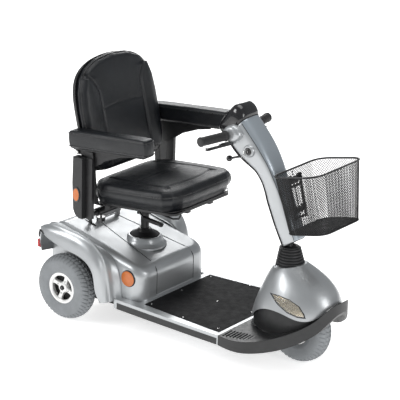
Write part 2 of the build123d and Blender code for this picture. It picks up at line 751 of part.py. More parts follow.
# ---------------------------------------------------------------- tiller
FRONT_LINE = [(429, 476), (411, 514), (372, 600), (330, 690), (303, 743), (264, 804), (214, 862), (180, 896)]
REAR_LINE = [(355, 434), (301, 545), (271, 622), (262, 658), (226, 706), (184, 726), (141, 752), (99, 801)]
CONSOLE_LINE = [(56, 831), (112, 917), (124, 936), (142, 944), (162, 936), (180, 896)]
REAR_EDGE = [(372, 444), (361, 514), (309, 629), (281, 671), (246, 712), (200, 746), (134, 786), (106, 808)]
FRONT_EDGE = [(409, 462), (392, 505), (353, 592), (311, 680), (284, 731), (246, 790), (198, 846), (168, 876)]
CONSOLE_EDGE = [(106, 808), (110, 848), (126, 880), (146, 892), (180, 896)]
TILLER_OUTLINE = FRONT_LINE[:-1] + CONSOLE_LINE[::-1] + REAR_LINE[::-1]
TILLER_FRONT = [(COLUMN_HALF, 420), (COLUMN_HALF, 640), (50, 720), (HEAD_HALF, 790), (HEAD_HALF, 880),
                (HEAD_HALF - 8, 918), (HEAD_HALF - 26, 942), (6, 950)]


def tiller_envelope(inset):
    """Outer or inner body of the tiller: its side outline crossed with its front outline."""
    side_face = side_view(TILLER_OUTLINE)
    if inset:
        side_face = offset(side_face, amount=-inset)
    with BuildPart() as envelope:
        extrude(side_face, amount=100, both=True)
        extrude(front_view([(max(y - inset, 0), z - (inset if z > 880 else 0)) for y, z in TILLER_FRONT]),
                amount=700, both=True, mode=Mode.INTERSECT)
    return envelope.part


def tiller_piece(region):
    """One moulding of the tiller shell: the skin inside a side-view region."""
    with BuildPart() as moulding:
        add(tiller_envelope(0))
        add(tiller_envelope(SKIN), mode=Mode.SUBTRACT)
        extrude(side_view(region), amount=100, both=True, mode=Mode.INTERSECT)
    return moulding.part


LEVER_SLOT_LOW = (106, 787)
LEVER_SLOT_HIGH = (174, 808)
POD = [(112, 809), (165, 809), (186, 834), (150, 868), (114, 852)]
POD_OUTER_Y = 82.0
KEY_X = 216.0
KEY_Z = 782.0
KEY_RADIUS = 14.0
TILT_LEVER_Y = -26.0
BAR_LENGTH = ((BAR_OUTER_X - BAR_INNER_X) ** 2 + (BAR_OUTER_Y - BAR_INNER_Y) ** 2) ** 0.5


def bar_plane(side, along):
    """Plane square to one handlebar arm, the given distance out from its root."""
    run = (BAR_OUTER_X - BAR_INNER_X) / BAR_LENGTH
    rise = side * (BAR_OUTER_Y - BAR_INNER_Y) / BAR_LENGTH
    return Plane(origin=(BAR_INNER_X + run * along, side * BAR_INNER_Y + rise * along, BAR_Z),
                 x_dir=(0, 0, 1), z_dir=(run, rise, 0))


def slot_block(half):
    """Room for the drive lever to swing through the head."""
    low_x, low_z = LEVER_SLOT_LOW
    high_x, high_z = LEVER_SLOT_HIGH
    with BuildPart() as block:
        extrude(side_view([(low_x - 12, low_z), (high_x, low_z), (high_x, high_z), (low_x - 12, high_z)]),
                amount=half, both=True)
    return block.part


COLUMN_RADIUS = 13.0
COLUMN_TOP = (236, 774)
COLUMN_DIRECTION = (COLUMN_TOP[0] - TILT_X, 0, COLUMN_TOP[1] - TILT_Z)
COLUMN_LENGTH = (COLUMN_DIRECTION[0] ** 2 + COLUMN_DIRECTION[2] ** 2) ** 0.5
WEB = [(228, 770), (248, 782), (138, 838), (120, 820)]


def column_room():
    """Space the steel column and its tilt fork need inside the mouldings."""
    with BuildPart() as room:
        with BuildSketch(Plane(origin=(TILT_X, 0, TILT_Z), z_dir=COLUMN_DIRECTION)):
            Circle(COLUMN_RADIUS + 1)
        extrude(amount=COLUMN_LENGTH)
        extrude(side_view(WEB), amount=7, both=True)
        with BuildSketch(Plane.XZ):
            with Locations((TILT_X, TILT_Z)):
                Circle(22)
        extrude(amount=CHEEK_INNER_Y + CHEEK_WIDTH + 5, both=True)
    return room.part


with BuildPart() as tiller_side_shell:
    add(tiller_piece(REAR_EDGE + CONSOLE_EDGE[1:] + FRONT_EDGE[::-1]))
    for side_name, side in SIDES:
        extrude(side_view(POD).moved(Location((0, side * (HEAD_HALF - SKIN + POD_OUTER_Y) / 2, 0))),
                amount=(POD_OUTER_Y - HEAD_HALF + SKIN) / 2, both=True)
    with BuildSketch(Plane.XZ):
        with Locations((BAR_INNER_X, BAR_Z)):
            Circle(BAR_RADIUS + 3.5)
    extrude(amount=POD_OUTER_Y + 5, both=True, mode=Mode.SUBTRACT)
    with BuildSketch(Plane.XZ.offset(HEAD_HALF - SKIN)):
        with Locations((KEY_X, KEY_Z)):
            Circle(KEY_RADIUS + 7)
    extrude(amount=10)
    with BuildSketch(Plane.XZ.offset(HEAD_HALF - 30)):
        with Locations((KEY_X, KEY_Z)):
            Circle(KEY_RADIUS)
    extrude(amount=60, mode=Mode.SUBTRACT)
    add(slot_block(120), mode=Mode.SUBTRACT)
    add(column_room(), mode=Mode.SUBTRACT)
save(tiller_side_shell.part, "tiller_side_shell")

with BuildPart() as tiller_front_shell:
    add(tiller_piece(FRONT_LINE[:-1] + [(190, 890), (180, 896)] + FRONT_EDGE[::-1]))
    add(column_room(), mode=Mode.SUBTRACT)
save(tiller_front_shell.part, "tiller_front_shell")

TILT_SLOT = [(110, 700), (196, 700), (196, 766), (126, 766)]
with BuildPart() as tiller_rear_cover:
    add(tiller_piece(REAR_LINE + REAR_EDGE[::-1]))
    add(slot_block(120), mode=Mode.SUBTRACT)
    extrude(side_view(TILT_SLOT).moved(Location((0, TILT_LEVER_Y, 0))), amount=9, both=True, mode=Mode.SUBTRACT)
    add(column_room(), mode=Mode.SUBTRACT)
save(tiller_rear_cover.part, "tiller_rear_cover")

PANEL_NORMAL = (-0.832, 0, 0.555)
PANEL_CENTRE = (84, 874)
BUTTON_RADIUS = 9.0
BUTTON_Y = 34.0
DIAL_RADIUS = 16.0
DIAL_SHAFT_RADIUS = 4.0
SWITCH_HALF = 7.0


def panel_plane(y, out):
    """Plane on the rider's panel of the console, raised by the given distance."""
    x, z = PANEL_CENTRE
    return Plane(origin=(x + PANEL_NORMAL[0] * out, y, z + PANEL_NORMAL[2] * out), x_dir=(0, 1, 0),
                 z_dir=PANEL_NORMAL)


with BuildPart() as console:
    add(tiller_piece(CONSOLE_LINE + CONSOLE_EDGE[::-1][1:] + [(99, 801)]))
    add(slot_block(120), mode=Mode.SUBTRACT)
    with BuildSketch(panel_plane(0, -20)):
        Circle(DIAL_SHAFT_RADIUS + RUNNING_GAP)
        with Locations((BUTTON_Y, 0)):
            Circle(BUTTON_RADIUS + MOVING_GAP)
        with Locations((-BUTTON_Y, 0)):
            Rectangle(2 * (SWITCH_HALF + MOVING_GAP), 4 * SWITCH_HALF + 2 * MOVING_GAP)
    extrude(amount=40, mode=Mode.SUBTRACT)
save(console.part, "console")

LEVER_X = 140.0
LEVER_STUD_RADIUS = 4.0
LEVER_LOW_Z = 790.0
LEVER_HIGH_Z = 802.0

with BuildPart() as tiller_column:
    with BuildSketch(Plane(origin=(TILT_X, 0, TILT_Z), z_dir=COLUMN_DIRECTION)):
        Circle(COLUMN_RADIUS)
    extrude(amount=COLUMN_LENGTH)
    with BuildSketch(Plane.XZ):
        with Locations((TILT_X, TILT_Z)):
            Circle(COLUMN_RADIUS)
    extrude(amount=CHEEK_INNER_Y - 0.5, both=True)
    with BuildSketch(Plane.XZ):
        with Locations((TILT_X, TILT_Z)):
            Circle(PIVOT_PIN_RADIUS)
    extrude(amount=CHEEK_INNER_Y + CHEEK_WIDTH + 2, both=True)
    extrude(side_view(WEB), amount=6, both=True)
    with BuildSketch(Plane.XY.offset(LEVER_LOW_Z - 4)):
        with Locations((LEVER_X, 0)):
            Circle(LEVER_STUD_RADIUS)
    extrude(amount=36)
    with BuildSketch(Plane.XZ.offset(-BAR_INNER_Y)):
        with Locations((BAR_INNER_X, BAR_Z)):
            Circle(BAR_RADIUS)
    extrude(amount=2 * BAR_INNER_Y)
    for side_name, side in SIDES:
        with Locations((BAR_INNER_X, side * BAR_INNER_Y, BAR_Z)):
            Sphere(BAR_RADIUS)
        with BuildSketch(bar_plane(side, 0)):
            Circle(BAR_RADIUS)
        extrude(amount=BAR_LENGTH)
save(tiller_column.part, "tiller_column")

GRIP_START = 16.0
with BuildPart() as grips:
    for side_name, side in SIDES:
        with BuildSketch(bar_plane(side, GRIP_START)):
            Circle(GRIP_RADIUS)
        extrude(amount=BAR_LENGTH + 5 - GRIP_START)
        with BuildSketch(bar_plane(side, 0)):
            Circle(BAR_RADIUS + RUNNING_GAP)
        extrude(amount=BAR_LENGTH, mode=Mode.SUBTRACT)
save(grips.part, "grips")

LEVER_TIP_X = 114.0
LEVER_TIP_Y = 186.0
with BuildPart() as drive_lever:
    with BuildSketch(Plane.XY.offset(LEVER_LOW_Z)):
        with BuildLine():
            Polyline((LEVER_X - 7, -20), (LEVER_TIP_X - 6, -LEVER_TIP_Y), (LEVER_TIP_X + 6, -LEVER_TIP_Y),
                     (LEVER_X + 7, -20), (LEVER_X + 7, 20), (LEVER_TIP_X + 6, LEVER_TIP_Y),
                     (LEVER_TIP_X - 6, LEVER_TIP_Y), (LEVER_X - 7, 20), close=True)
        make_face()
        with Locations((LEVER_X, 0)):
            Circle(11)
            Circle(LEVER_STUD_RADIUS + RUNNING_GAP, mode=Mode.SUBTRACT)
    extrude(amount=LEVER_HIGH_Z - LEVER_LOW_Z)
    fillet(drive_lever.edges().filter_by(Axis.Z).group_by(Axis.Y)[0], 4)
    fillet(drive_lever.edges().filter_by(Axis.Z).group_by(Axis.Y)[-1], 4)
save(drive_lever.part, "drive_lever")

with BuildPart() as speed_dial:
    with BuildSketch(panel_plane(0, 1)):
        Circle(DIAL_RADIUS)
    extrude(amount=10, taper=8)
    with BuildSketch(panel_plane(0, -8)):
        Circle(DIAL_SHAFT_RADIUS)
    extrude(amount=14)
save(speed_dial.part, "speed_dial")

with BuildPart() as horn_button:
    with BuildSketch(panel_plane(BUTTON_Y, -8)):
        Circle(BUTTON_RADIUS)
    extrude(amount=14)
save(horn_button.part, "horn_button")

with BuildPart() as light_switch:
    with BuildSketch(panel_plane(-BUTTON_Y, -2.5)):
        Rectangle(2 * SWITCH_HALF, 4 * SWITCH_HALF)
    extrude(amount=8)
save(light_switch.part, "light_switch")

KEY_SHAFT_RADIUS = 3.0
KEY_SWITCH_FACE_Y = -(HEAD_HALF + 9)
with BuildPart() as key_switch:
    with BuildSketch(Plane.XZ.offset(HEAD_HALF - 22)):
        with Locations((KEY_X, KEY_Z)):
            Circle(KEY_RADIUS)
            Circle(KEY_SHAFT_RADIUS + RUNNING_GAP, mode=Mode.SUBTRACT)
    extrude(amount=31)
save(key_switch.part, "key_switch")

with BuildPart() as key:
    with BuildSketch(Plane.XZ.offset(HEAD_HALF - 12)):
        with Locations((KEY_X, KEY_Z)):
            Circle(KEY_SHAFT_RADIUS)
    extrude(amount=26)
    with BuildSketch(Plane.YZ.offset(KEY_X)):
        with Locations((KEY_SWITCH_FACE_Y - 15, KEY_Z)):
            RectangleRounded(24, 20, 6)
    extrude(amount=1.5, both=True)
save(key.part, "key")

TILT_LEVER_X = 186.0
TILT_LEVER_Z = 752.0
KNOB_X = 104.0
KNOB_Z = 722.0
with BuildPart() as tilt_lever:
    with BuildSketch(Plane(origin=(TILT_LEVER_X, TILT_LEVER_Y, TILT_LEVER_Z),
                           z_dir=(KNOB_X - TILT_LEVER_X, 0, KNOB_Z - TILT_LEVER_Z))):
        Circle(4.5)
    extrude(amount=80)
    with Locations((KNOB_X, TILT_LEVER_Y, KNOB_Z)):
        Sphere(12)
    with BuildSketch(Plane.XZ.offset(-TILT_LEVER_Y)):
        with Locations((TILT_LEVER_X, TILT_LEVER_Z)):
            Circle(7)
    extrude(amount=6, both=True)
save(tilt_lever.part, "tilt_lever")

# ---------------------------------------------------------------- basket
BRACKET = [(300, 706), (BASKET_X + 8, 706), (BASKET_X + 43, 560), (360, 560)]
BRACKET_Y = 34.0
RIM_CENTRE = BASKET_LENGTH / 2
BOTTOM_CENTRE = BASKET_BOTTOM_LENGTH / 2 + 10


def basket_section(height, length, half, centre, corner):
    """Rounded rectangle in the tilted basket frame."""
    with BuildSketch(tilted_plane(BASKET_X, BASKET_Z, BASKET_TILT).offset(height)) as section:
        with Locations((centre, 0)):
            RectangleRounded(length, 2 * half, corner)
    return section.sketch


def basket_solid(inset):
    """Tapered bucket; the inset one is the space inside it."""
    floor = inset - BASKET_DEPTH
    top = inset * 3
    with BuildPart() as bucket:
        loft([basket_section(floor, BASKET_BOTTOM_LENGTH - 2 * inset, BASKET_BOTTOM_HALF - inset,
                             BOTTOM_CENTRE, 42 - inset),
              basket_section(top, BASKET_LENGTH - 2 * inset, BASKET_HALF - inset, RIM_CENTRE, 52 - inset)])
    return bucket.part


with BuildPart() as basket:
    add(basket_solid(0))
    add(basket_solid(BASKET_WALL), mode=Mode.SUBTRACT)
    extrude(basket_section(-8, BASKET_LENGTH + 3, BASKET_HALF + 2, RIM_CENTRE, 53)
            - basket_section(-8, BASKET_LENGTH - 6, BASKET_HALF - 3, RIM_CENTRE, 49), amount=8)
save(basket.part, "basket")

with BuildPart() as basket_room:
    loft([basket_section(-BASKET_DEPTH - 1, BASKET_BOTTOM_LENGTH + 4, BASKET_BOTTOM_HALF, BOTTOM_CENTRE, 42),
          basket_section(1, BASKET_LENGTH + 4, BASKET_HALF, RIM_CENTRE, 52)])

with BuildPart() as basket_bracket:
    for side_name, side in SIDES:
        extrude(side_view(BRACKET).moved(Location((0, side * BRACKET_Y, 0))), amount=3, both=True)
    with BuildSketch(Plane.XZ):
        with Locations((350, 640)):
            Circle(5)
    extrude(amount=BRACKET_Y, both=True)
    add(tiller_envelope(0), mode=Mode.SUBTRACT)
    add(basket_room.part, mode=Mode.SUBTRACT)
save(basket_bracket.part, "basket_bracket")

# ---------------------------------------------------------------- seat post and swivel
POST_BOTTOM_Z = 112.0
SPIGOT_TOP_Z = 438.0

with BuildPart() as seat_post:
    with BuildSketch(Plane.XY.offset(POST_BOTTOM_Z)):
        with Locations((POST_X, 0)):
            Circle(POST_RADIUS)
    extrude(amount=SWIVEL_Z - POST_BOTTOM_Z)
    with BuildSketch(Plane.XY.offset(SWIVEL_Z)):
        with Locations((POST_X, 0)):
            Circle(SPIGOT_RADIUS)
    extrude(amount=SPIGOT_TOP_Z - SWIVEL_Z)
save(seat_post.part, "seat_post")

SEAT_PLANE = tilted_plane(SEAT_X, SEAT_Z, SEAT_TILT)
RAIL_Y = 70.0
RAIL_LOW = -24.0
PLATE_Z = 440.0
PLATE_HALF = 85.0


def seat_height(x, local):
    """Row height of a point of the tilted seat frame above x."""
    return SEAT_Z + (x - SEAT_X) * tan(radians(SEAT_TILT)) + local / cos(radians(SEAT_TILT))


with BuildPart() as seat_swivel:
    with BuildSketch(Plane.XY.offset(SWIVEL_Z + MOVING_GAP)):
        with Locations((POST_X, 0)):
            Circle(27)
    extrude(amount=PLATE_Z - SWIVEL_Z)
    with BuildSketch(Plane.XY.offset(PLATE_Z)):
        with Locations((POST_X, 0)):
            RectangleRounded(2 * PLATE_HALF, 2 * PLATE_HALF, 14)
    extrude(amount=5)
    for side_name, side in SIDES:
        rear = POST_X - PLATE_HALF
        front = POST_X + PLATE_HALF
        wedge = [(rear, PLATE_Z), (front, PLATE_Z), (front, seat_height(front, RAIL_LOW - MOVING_GAP)),
                 (rear, seat_height(rear, RAIL_LOW - MOVING_GAP))]
        extrude(side_view(wedge).moved(Location((0, side * RAIL_Y, 0))), amount=9, both=True)
    with BuildSketch(Plane.XY.offset(SWIVEL_Z)):
        with Locations((POST_X, 0)):
            Circle(SPIGOT_RADIUS + RUNNING_GAP)
    extrude(amount=SPIGOT_TOP_Z - SWIVEL_Z + MOVING_GAP, mode=Mode.SUBTRACT)
save(seat_swivel.part, "seat_swivel")

# ---------------------------------------------------------------- seat
PAN_HALF_LENGTH = 172.0
PAN_HALF = 180.0
HINGE_PLATE_Y = 196.0
HINGE_PLATE = [(-414, 470), (-378, 470), (-392, 560), (-396, 606), (-402, 618), (-414, 618), (-420, 606),
               (-416, 560)]
RECEIVER_INNER_Y = 90.0
RECEIVER_OUTER_Y = 205.0
RECEIVER_RADIUS = 15.0
BACK_PLANE = Plane(origin=(BACK_X, 0, BACK_Z), x_dir=(0, 1, 0),
                   z_dir=(cos(radians(BACK_RECLINE)), 0, sin(radians(BACK_RECLINE))))

with BuildPart() as seat_frame:
    with BuildSketch(SEAT_PLANE.offset(-10)):
        RectangleRounded(2 * PAN_HALF_LENGTH, 2 * PAN_HALF, 30)
    extrude(amount=8)
    with BuildSketch(SEAT_PLANE.offset(RAIL_LOW)):
        with Locations((0, -RAIL_Y), (0, RAIL_Y)):
            Rectangle(2 * PAN_HALF_LENGTH - 30, 22)
    extrude(amount=RAIL_LOW * -1 - 10)
    for side_name, side in SIDES:
        extrude(side_view(HINGE_PLATE).moved(Location((0, side * HINGE_PLATE_Y, 0))), amount=2.5, both=True)
        with Locations((-376, side * (HINGE_PLATE_Y - 12), 473)):
            Box(40, 28, 6)
        with BuildSketch(Plane.XZ.offset(-side * RECEIVER_INNER_Y)):
            with Locations((ARM_BAR_X, ARM_BAR_Z)):
                Circle(RECEIVER_RADIUS)
        extrude(amount=-side * (RECEIVER_OUTER_Y - RECEIVER_INNER_Y))
        with Locations((ARM_BAR_X + 8, side * 160, 460)):
            Box(14, 30, 26)
    with BuildSketch(Plane.XZ):
        with Locations((ARM_BAR_X, ARM_BAR_Z)):
            Circle(ARM_BAR_RADIUS + RUNNING_GAP)
        with Locations((HINGE_X, HINGE_Z)):
            Circle(PIN_RADIUS + RUNNING_GAP)
    extrude(amount=300, both=True, mode=Mode.SUBTRACT)
save(seat_frame.part, "seat_frame")


def cushion_outline(inset):
    """Plan of the seat cushion in the tilted seat frame, rounder at the front."""
    rear = SEAT_REAR_X - SEAT_X + inset
    front = SEAT_FRONT_X - SEAT_X - inset
    half = SEAT_HALF - inset
    with BuildSketch(Plane.XY) as outline:
        with BuildLine():
            Spline((rear + 40, -half), (rear + 200, -half), (front - 90, -half + 6), (front - 30, -half + 44),
                   (front, 0), (front - 30, half - 44), (front - 90, half - 6), (rear + 200, half),
                   (rear + 40, half))
            Line((rear + 40, half), (rear, half - 30))
            Line((rear, half - 30), (rear, 30 - half))
            Line((rear, 30 - half), (rear + 40, -half))
        make_face()
    return outline.sketch


with BuildPart() as cushion_blank:
    extrude(cushion_outline(0), amount=CUSHION_THICKNESS)
    chamfer(cushion_blank.edges().group_by(Axis.Z)[-1], 14)
    with Locations((SEAT_REAR_X - SEAT_X, -HINGE_PLATE_Y, 40), (SEAT_REAR_X - SEAT_X, HINGE_PLATE_Y, 40)):
        Box(50, 36, 140, mode=Mode.SUBTRACT)
save(SEAT_PLANE.offset(MOVING_GAP).location * cushion_blank.part, "seat_cushion")


def back_outline(inset):
    """Tombstone outline of the backrest in its own plane, narrower at the foot."""
    half = BACK_HALF - inset
    top = BACK_HEIGHT - inset
    foot = 14 + inset
    with BuildSketch(Plane.XY) as outline:
        with BuildLine():
            Spline((184 - inset, foot + 26), (half - 8, 80), (half, 160), (half - 6, 270), (half - 46, 368),
                   (half - 120, top - 14), (0, top), (120 - half, top - 14), (46 - half, 368), (6 - half, 270),
                   (-half, 160), (8 - half, 80), (inset - 184, foot + 26))
            Polyline((inset - 184, foot + 26), (inset - 150, foot), (150 - inset, foot), (184 - inset, foot + 26))
        make_face()
    return outline.sketch


LUG_INNER_Y = 150.0
LUG_OUTER_Y = 191.0
LUG = [(-440, 652), (-430, 598), (-412, 594), (-397, 602), (-397, 610), (-408, 618), (-424, 634)]


def lug_room():
    """Space for both hinge lugs in the lower corners of the back cushion."""
    with BuildPart() as room:
        for side_name, side in SIDES:
            with BuildSketch(Plane.XZ.offset(-side * (LUG_INNER_Y - 3))):
                with BuildLine():
                    Polyline((-460, 580), (-388, 580), (-388, 616), (-420, 662), (-460, 662), close=True)
                make_face()
            extrude(amount=-side * 80)
    return room.part


with BuildPart() as back_cushion_blank:
    extrude(back_outline(0), amount=-BACK_THICKNESS)
    chamfer(back_cushion_blank.edges().group_by(Axis.Z)[-1], 10)
with BuildPart() as back_cushion:
    add(BACK_PLANE.location * back_cushion_blank.part)
    add(lug_room(), mode=Mode.SUBTRACT)
save(back_cushion.part, "back_cushion")

with BuildPart() as back_shell_blank:
    with BuildSketch(Plane.XY.offset(-BACK_THICKNESS)):
        add(back_outline(5))
    extrude(amount=-BACK_SHELL_THICKNESS)
with BuildPart() as back_shell:
    add(BACK_PLANE.location * back_shell_blank.part)
    for side_name, side in SIDES:
        with BuildSketch(Plane.XZ.offset(-side * LUG_INNER_Y)):
            with BuildLine():
                Polyline(*LUG, close=True)
            make_face()
        extrude(amount=-side * (LUG_OUTER_Y - LUG_INNER_Y))
        with BuildSketch(Plane.XZ.offset(-side * LUG_INNER_Y)):
            with Locations((HINGE_X, HINGE_Z)):
                Circle(PIN_RADIUS)
        extrude(amount=-side * (HINGE_PLATE_Y + 6 - LUG_INNER_Y))
save(back_shell.part, "back_shell")

# ---------------------------------------------------------------- arms
POST_PROFILE = [(-394, 430), (-376, 426), (-362, 432), (-362, 670), (-394, 670)]
EAR_PROFILE = [(-394, 666), (-362, 666), (-366, 694), (-440, 694), (-447, 688), (-449, 675), (-394, 675)]
COVER_PROFILE = [(-441, 460), (-431, 440), (-412, 428), (-394.5, 428), (-394.5, 672), (-443, 669), (-446, 566)]
POST_INNER_Y = 242.0
POST_WIDTH = 14.0
EAR_WIDTH = 8.0
ARM_PLATE_Y = 237.0
ARM_PLATE_WIDTH = 6.0
ARM_PLATE = [(-452, 690), (-448, 674), (-430, 674), (-412, 626), (-400, 618), (-348, 646), (-314, 670),
             (-240, 700), (-180, 714), (-180, 720), (-452, 697)]
PAD_REAR_X = -463.0
PAD_BOTTOM_Z = 699.0


def shifted(points, y):
    """Side-view face moved to a plane at y."""
    return side_view(points).moved(Location((0, y, 0)))


for side_name, side in SIDES:
    with BuildPart() as arm_post:
        extrude(shifted(POST_PROFILE, side * (POST_INNER_Y + POST_WIDTH / 2)), amount=POST_WIDTH / 2, both=True)
        extrude(shifted(EAR_PROFILE, side * (POST_INNER_Y + EAR_WIDTH / 2)), amount=EAR_WIDTH / 2, both=True)
        with BuildSketch(Plane.XZ.offset(-side * (RECEIVER_INNER_Y + 25))):
            with Locations((ARM_BAR_X, ARM_BAR_Z)):
                Circle(ARM_BAR_RADIUS)
        extrude(amount=-side * (POST_INNER_Y + 2 - RECEIVER_INNER_Y - 25))
        with BuildSketch(Plane.XZ):
            with Locations((ARM_PIVOT_X, ARM_PIVOT_Z)):
                Circle(PIN_RADIUS + RUNNING_GAP)
        extrude(amount=400, both=True, mode=Mode.SUBTRACT)
    save(arm_post.part, f"{side_name}_arm_post")

    with BuildPart() as arm_cover:
        extrude(shifted(COVER_PROFILE, side * (ARM_OUTER_Y + POST_INNER_Y) / 2),
                amount=(ARM_OUTER_Y - POST_INNER_Y) / 2, both=True)
        outer_rim = arm_cover.edges().group_by(Axis.Y)[0 if side < 0 else -1]
        fillet(outer_rim.filter_by(lambda edge: edge.center().X < -400), 7)
    save(arm_cover.part, f"{side_name}_arm_cover")

    with BuildPart() as armrest_bracket:
        extrude(shifted(ARM_PLATE, side * (ARM_PLATE_Y)), amount=ARM_PLATE_WIDTH / 2, both=True)
        with BuildSketch(Plane.XZ.offset(-side * ARM_PLATE_Y)):
            with Locations((ARM_PIVOT_X, ARM_PIVOT_Z)):
                Circle(PIN_RADIUS)
        extrude(amount=-side * (POST_INNER_Y + EAR_WIDTH + 4 - ARM_PLATE_Y))
        with BuildSketch(Plane.XZ.offset(-side * ARM_PLATE_Y)):
            with Locations((ARM_PIVOT_X, ARM_PIVOT_Z)):
                Circle(11)
        extrude(amount=side * 4)
        pad_y = side * (ARM_OUTER_Y - ARM_PAD_WIDTH / 2)
        with BuildSketch(tilted_plane(PAD_REAR_X, PAD_BOTTOM_Z - 5, SEAT_TILT, pad_y)):
            with Locations((ARM_PAD_LENGTH / 2, 0)):
                Rectangle(ARM_PAD_LENGTH - 40, ARM_PAD_WIDTH - 16)
        extrude(amount=5)
    save(armrest_bracket.part, f"{side_name}_armrest_bracket")

    with BuildPart() as armrest_pad:
        with BuildSketch(tilted_plane(PAD_REAR_X, PAD_BOTTOM_Z, SEAT_TILT, pad_y)):
            with Locations((ARM_PAD_LENGTH / 2, 0)):
                RectangleRounded(ARM_PAD_LENGTH, ARM_PAD_WIDTH, 12)
        extrude(amount=ARM_PAD_HEIGHT)
        chamfer(armrest_pad.faces().sort_by(Axis.Z)[-1].edges(), 9)
        add(armrest_bracket.part, mode=Mode.SUBTRACT)
    save(armrest_pad.part, f"{side_name}_armrest_pad")

    with BuildPart() as width_knob:
        with BuildSketch(Plane.XY.offset(ARM_BAR_Z - RECEIVER_RADIUS - 26)):
            with Locations((ARM_BAR_X, side * 180)):
                RegularPolygon(17, 8)
        extrude(amount=16)
        with BuildSketch(Plane.XY.offset(ARM_BAR_Z - RECEIVER_RADIUS - 10)):
            with Locations((ARM_BAR_X, side * 180)):
                Circle(4)
        extrude(amount=9)
    save(width_knob.part, f"{side_name}_width_knob")

# ---------------------------------------------------------------- levers
LEVER_ROD = 3.5
with BuildPart() as swivel_lever:
    with BuildLine(Plane.XY.offset(432)) as route:
        Polyline((POST_X + 24, -66), (POST_X + 80, -112), (POST_X + 186, -128))
    with BuildSketch(Plane(origin=route.line @ 0, z_dir=route.line % 0)):
        Circle(LEVER_ROD)
    sweep(transition=Transition.ROUND)
    with BuildSketch(Plane.XY.offset(425)):
        with Locations((POST_X + 24, -66)):
            Circle(9)
    extrude(amount=14)
    with BuildSketch(Plane(origin=(POST_X + 84, -112.6, 432), z_dir=(106, -16, 0))):
        Circle(9)
    extrude(amount=98)
save(swivel_lever.part, "swivel_lever")

SLIDE_LEVER_Y = -91.0
with BuildPart() as slide_lever:
    with BuildLine(Plane.XZ.offset(-SLIDE_LEVER_Y)) as route:
        FilletPolyline((-176, 460), (-100, 452), (-72, 460), (-64, 478), radius=8)
    with BuildSketch(Plane(origin=route.line @ 0, z_dir=route.line % 0)):
        Circle(LEVER_ROD)
    sweep()
save(slide_lever.part, "slide_lever")

with BuildPart() as freewheel_lever:
    with BuildSketch(Plane.XZ.offset(-FREEWHEEL_Y)):
        with BuildLine():
            Polyline((FREEWHEEL_X - 4, 300), (FREEWHEEL_X + 4, 300), (FREEWHEEL_X + 5, 366), (FREEWHEEL_X - 6, 366),
                     close=True)
        make_face()
    extrude(amount=4, both=True)
    with Locations((FREEWHEEL_X, FREEWHEEL_Y, 371)):
        Box(20, 15, 12)
save(freewheel_lever.part, "freewheel_lever")
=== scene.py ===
import math

import bmesh
import bpy
import numpy as np
from mathutils import Matrix, Vector


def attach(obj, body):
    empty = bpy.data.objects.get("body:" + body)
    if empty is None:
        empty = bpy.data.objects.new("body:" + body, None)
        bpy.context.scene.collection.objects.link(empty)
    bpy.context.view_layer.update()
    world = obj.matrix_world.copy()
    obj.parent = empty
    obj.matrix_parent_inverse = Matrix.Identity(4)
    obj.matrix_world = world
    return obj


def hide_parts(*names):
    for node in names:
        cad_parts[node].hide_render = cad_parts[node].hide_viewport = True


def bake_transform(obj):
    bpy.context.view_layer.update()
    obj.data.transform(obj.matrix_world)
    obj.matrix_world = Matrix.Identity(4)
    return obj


# Three-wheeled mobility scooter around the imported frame. Shapes are given in millimetres in the
# CAD's frame (+X forward, +Y rider's left, +Z up) and built in metres.
MM = 0.001
TAU = 2 * math.pi
SIDES = (("right", -1), ("left", 1))

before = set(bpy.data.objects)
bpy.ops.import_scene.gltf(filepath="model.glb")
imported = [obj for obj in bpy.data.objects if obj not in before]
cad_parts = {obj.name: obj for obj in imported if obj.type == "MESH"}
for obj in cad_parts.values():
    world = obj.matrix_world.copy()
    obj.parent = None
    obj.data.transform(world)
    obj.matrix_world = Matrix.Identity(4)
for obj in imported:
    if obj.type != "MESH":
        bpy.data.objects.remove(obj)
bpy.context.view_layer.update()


# -------------------- materials
def link(tree, source, target):
    tree.links.new(source, target)


def new_material(name):
    """Material with a Principled shader; returns it with its tree and shader."""
    made = bpy.data.materials.new(name)
    made.use_nodes = True
    tree = made.node_tree
    return made, tree, tree.nodes["Principled BSDF"]


def noise(tree, scale, detail=3.0, rough=0.5):
    """Noise in object space; scale is in cells per metre."""
    place = tree.nodes.new("ShaderNodeTexCoord")
    node = tree.nodes.new("ShaderNodeTexNoise")
    node.inputs["Scale"].default_value = scale
    node.inputs["Detail"].default_value = detail
    node.inputs["Roughness"].default_value = rough
    link(tree, place.outputs["Object"], node.inputs["Vector"])
    return node.outputs["Fac"]


def ramp(tree, source, low, high):
    """Maps 0.3-0.7 of a noise to a pair of colours."""
    node = tree.nodes.new("ShaderNodeValToRGB")
    node.color_ramp.elements[0].position = 0.3
    node.color_ramp.elements[1].position = 0.7
    node.color_ramp.elements[0].color = (*low, 1)
    node.color_ramp.elements[1].color = (*high, 1)
    link(tree, source, node.inputs["Fac"])
    return node.outputs["Color"]


def spread(tree, source, low, high):
    """Maps a 0.3-0.7 signal to a range of numbers."""
    node = tree.nodes.new("ShaderNodeMapRange")
    node.inputs["From Min"].default_value = 0.3
    node.inputs["From Max"].default_value = 0.7
    node.inputs["To Min"].default_value = low
    node.inputs["To Max"].default_value = high
    link(tree, source, node.inputs["Value"])
    return node.outputs["Result"]


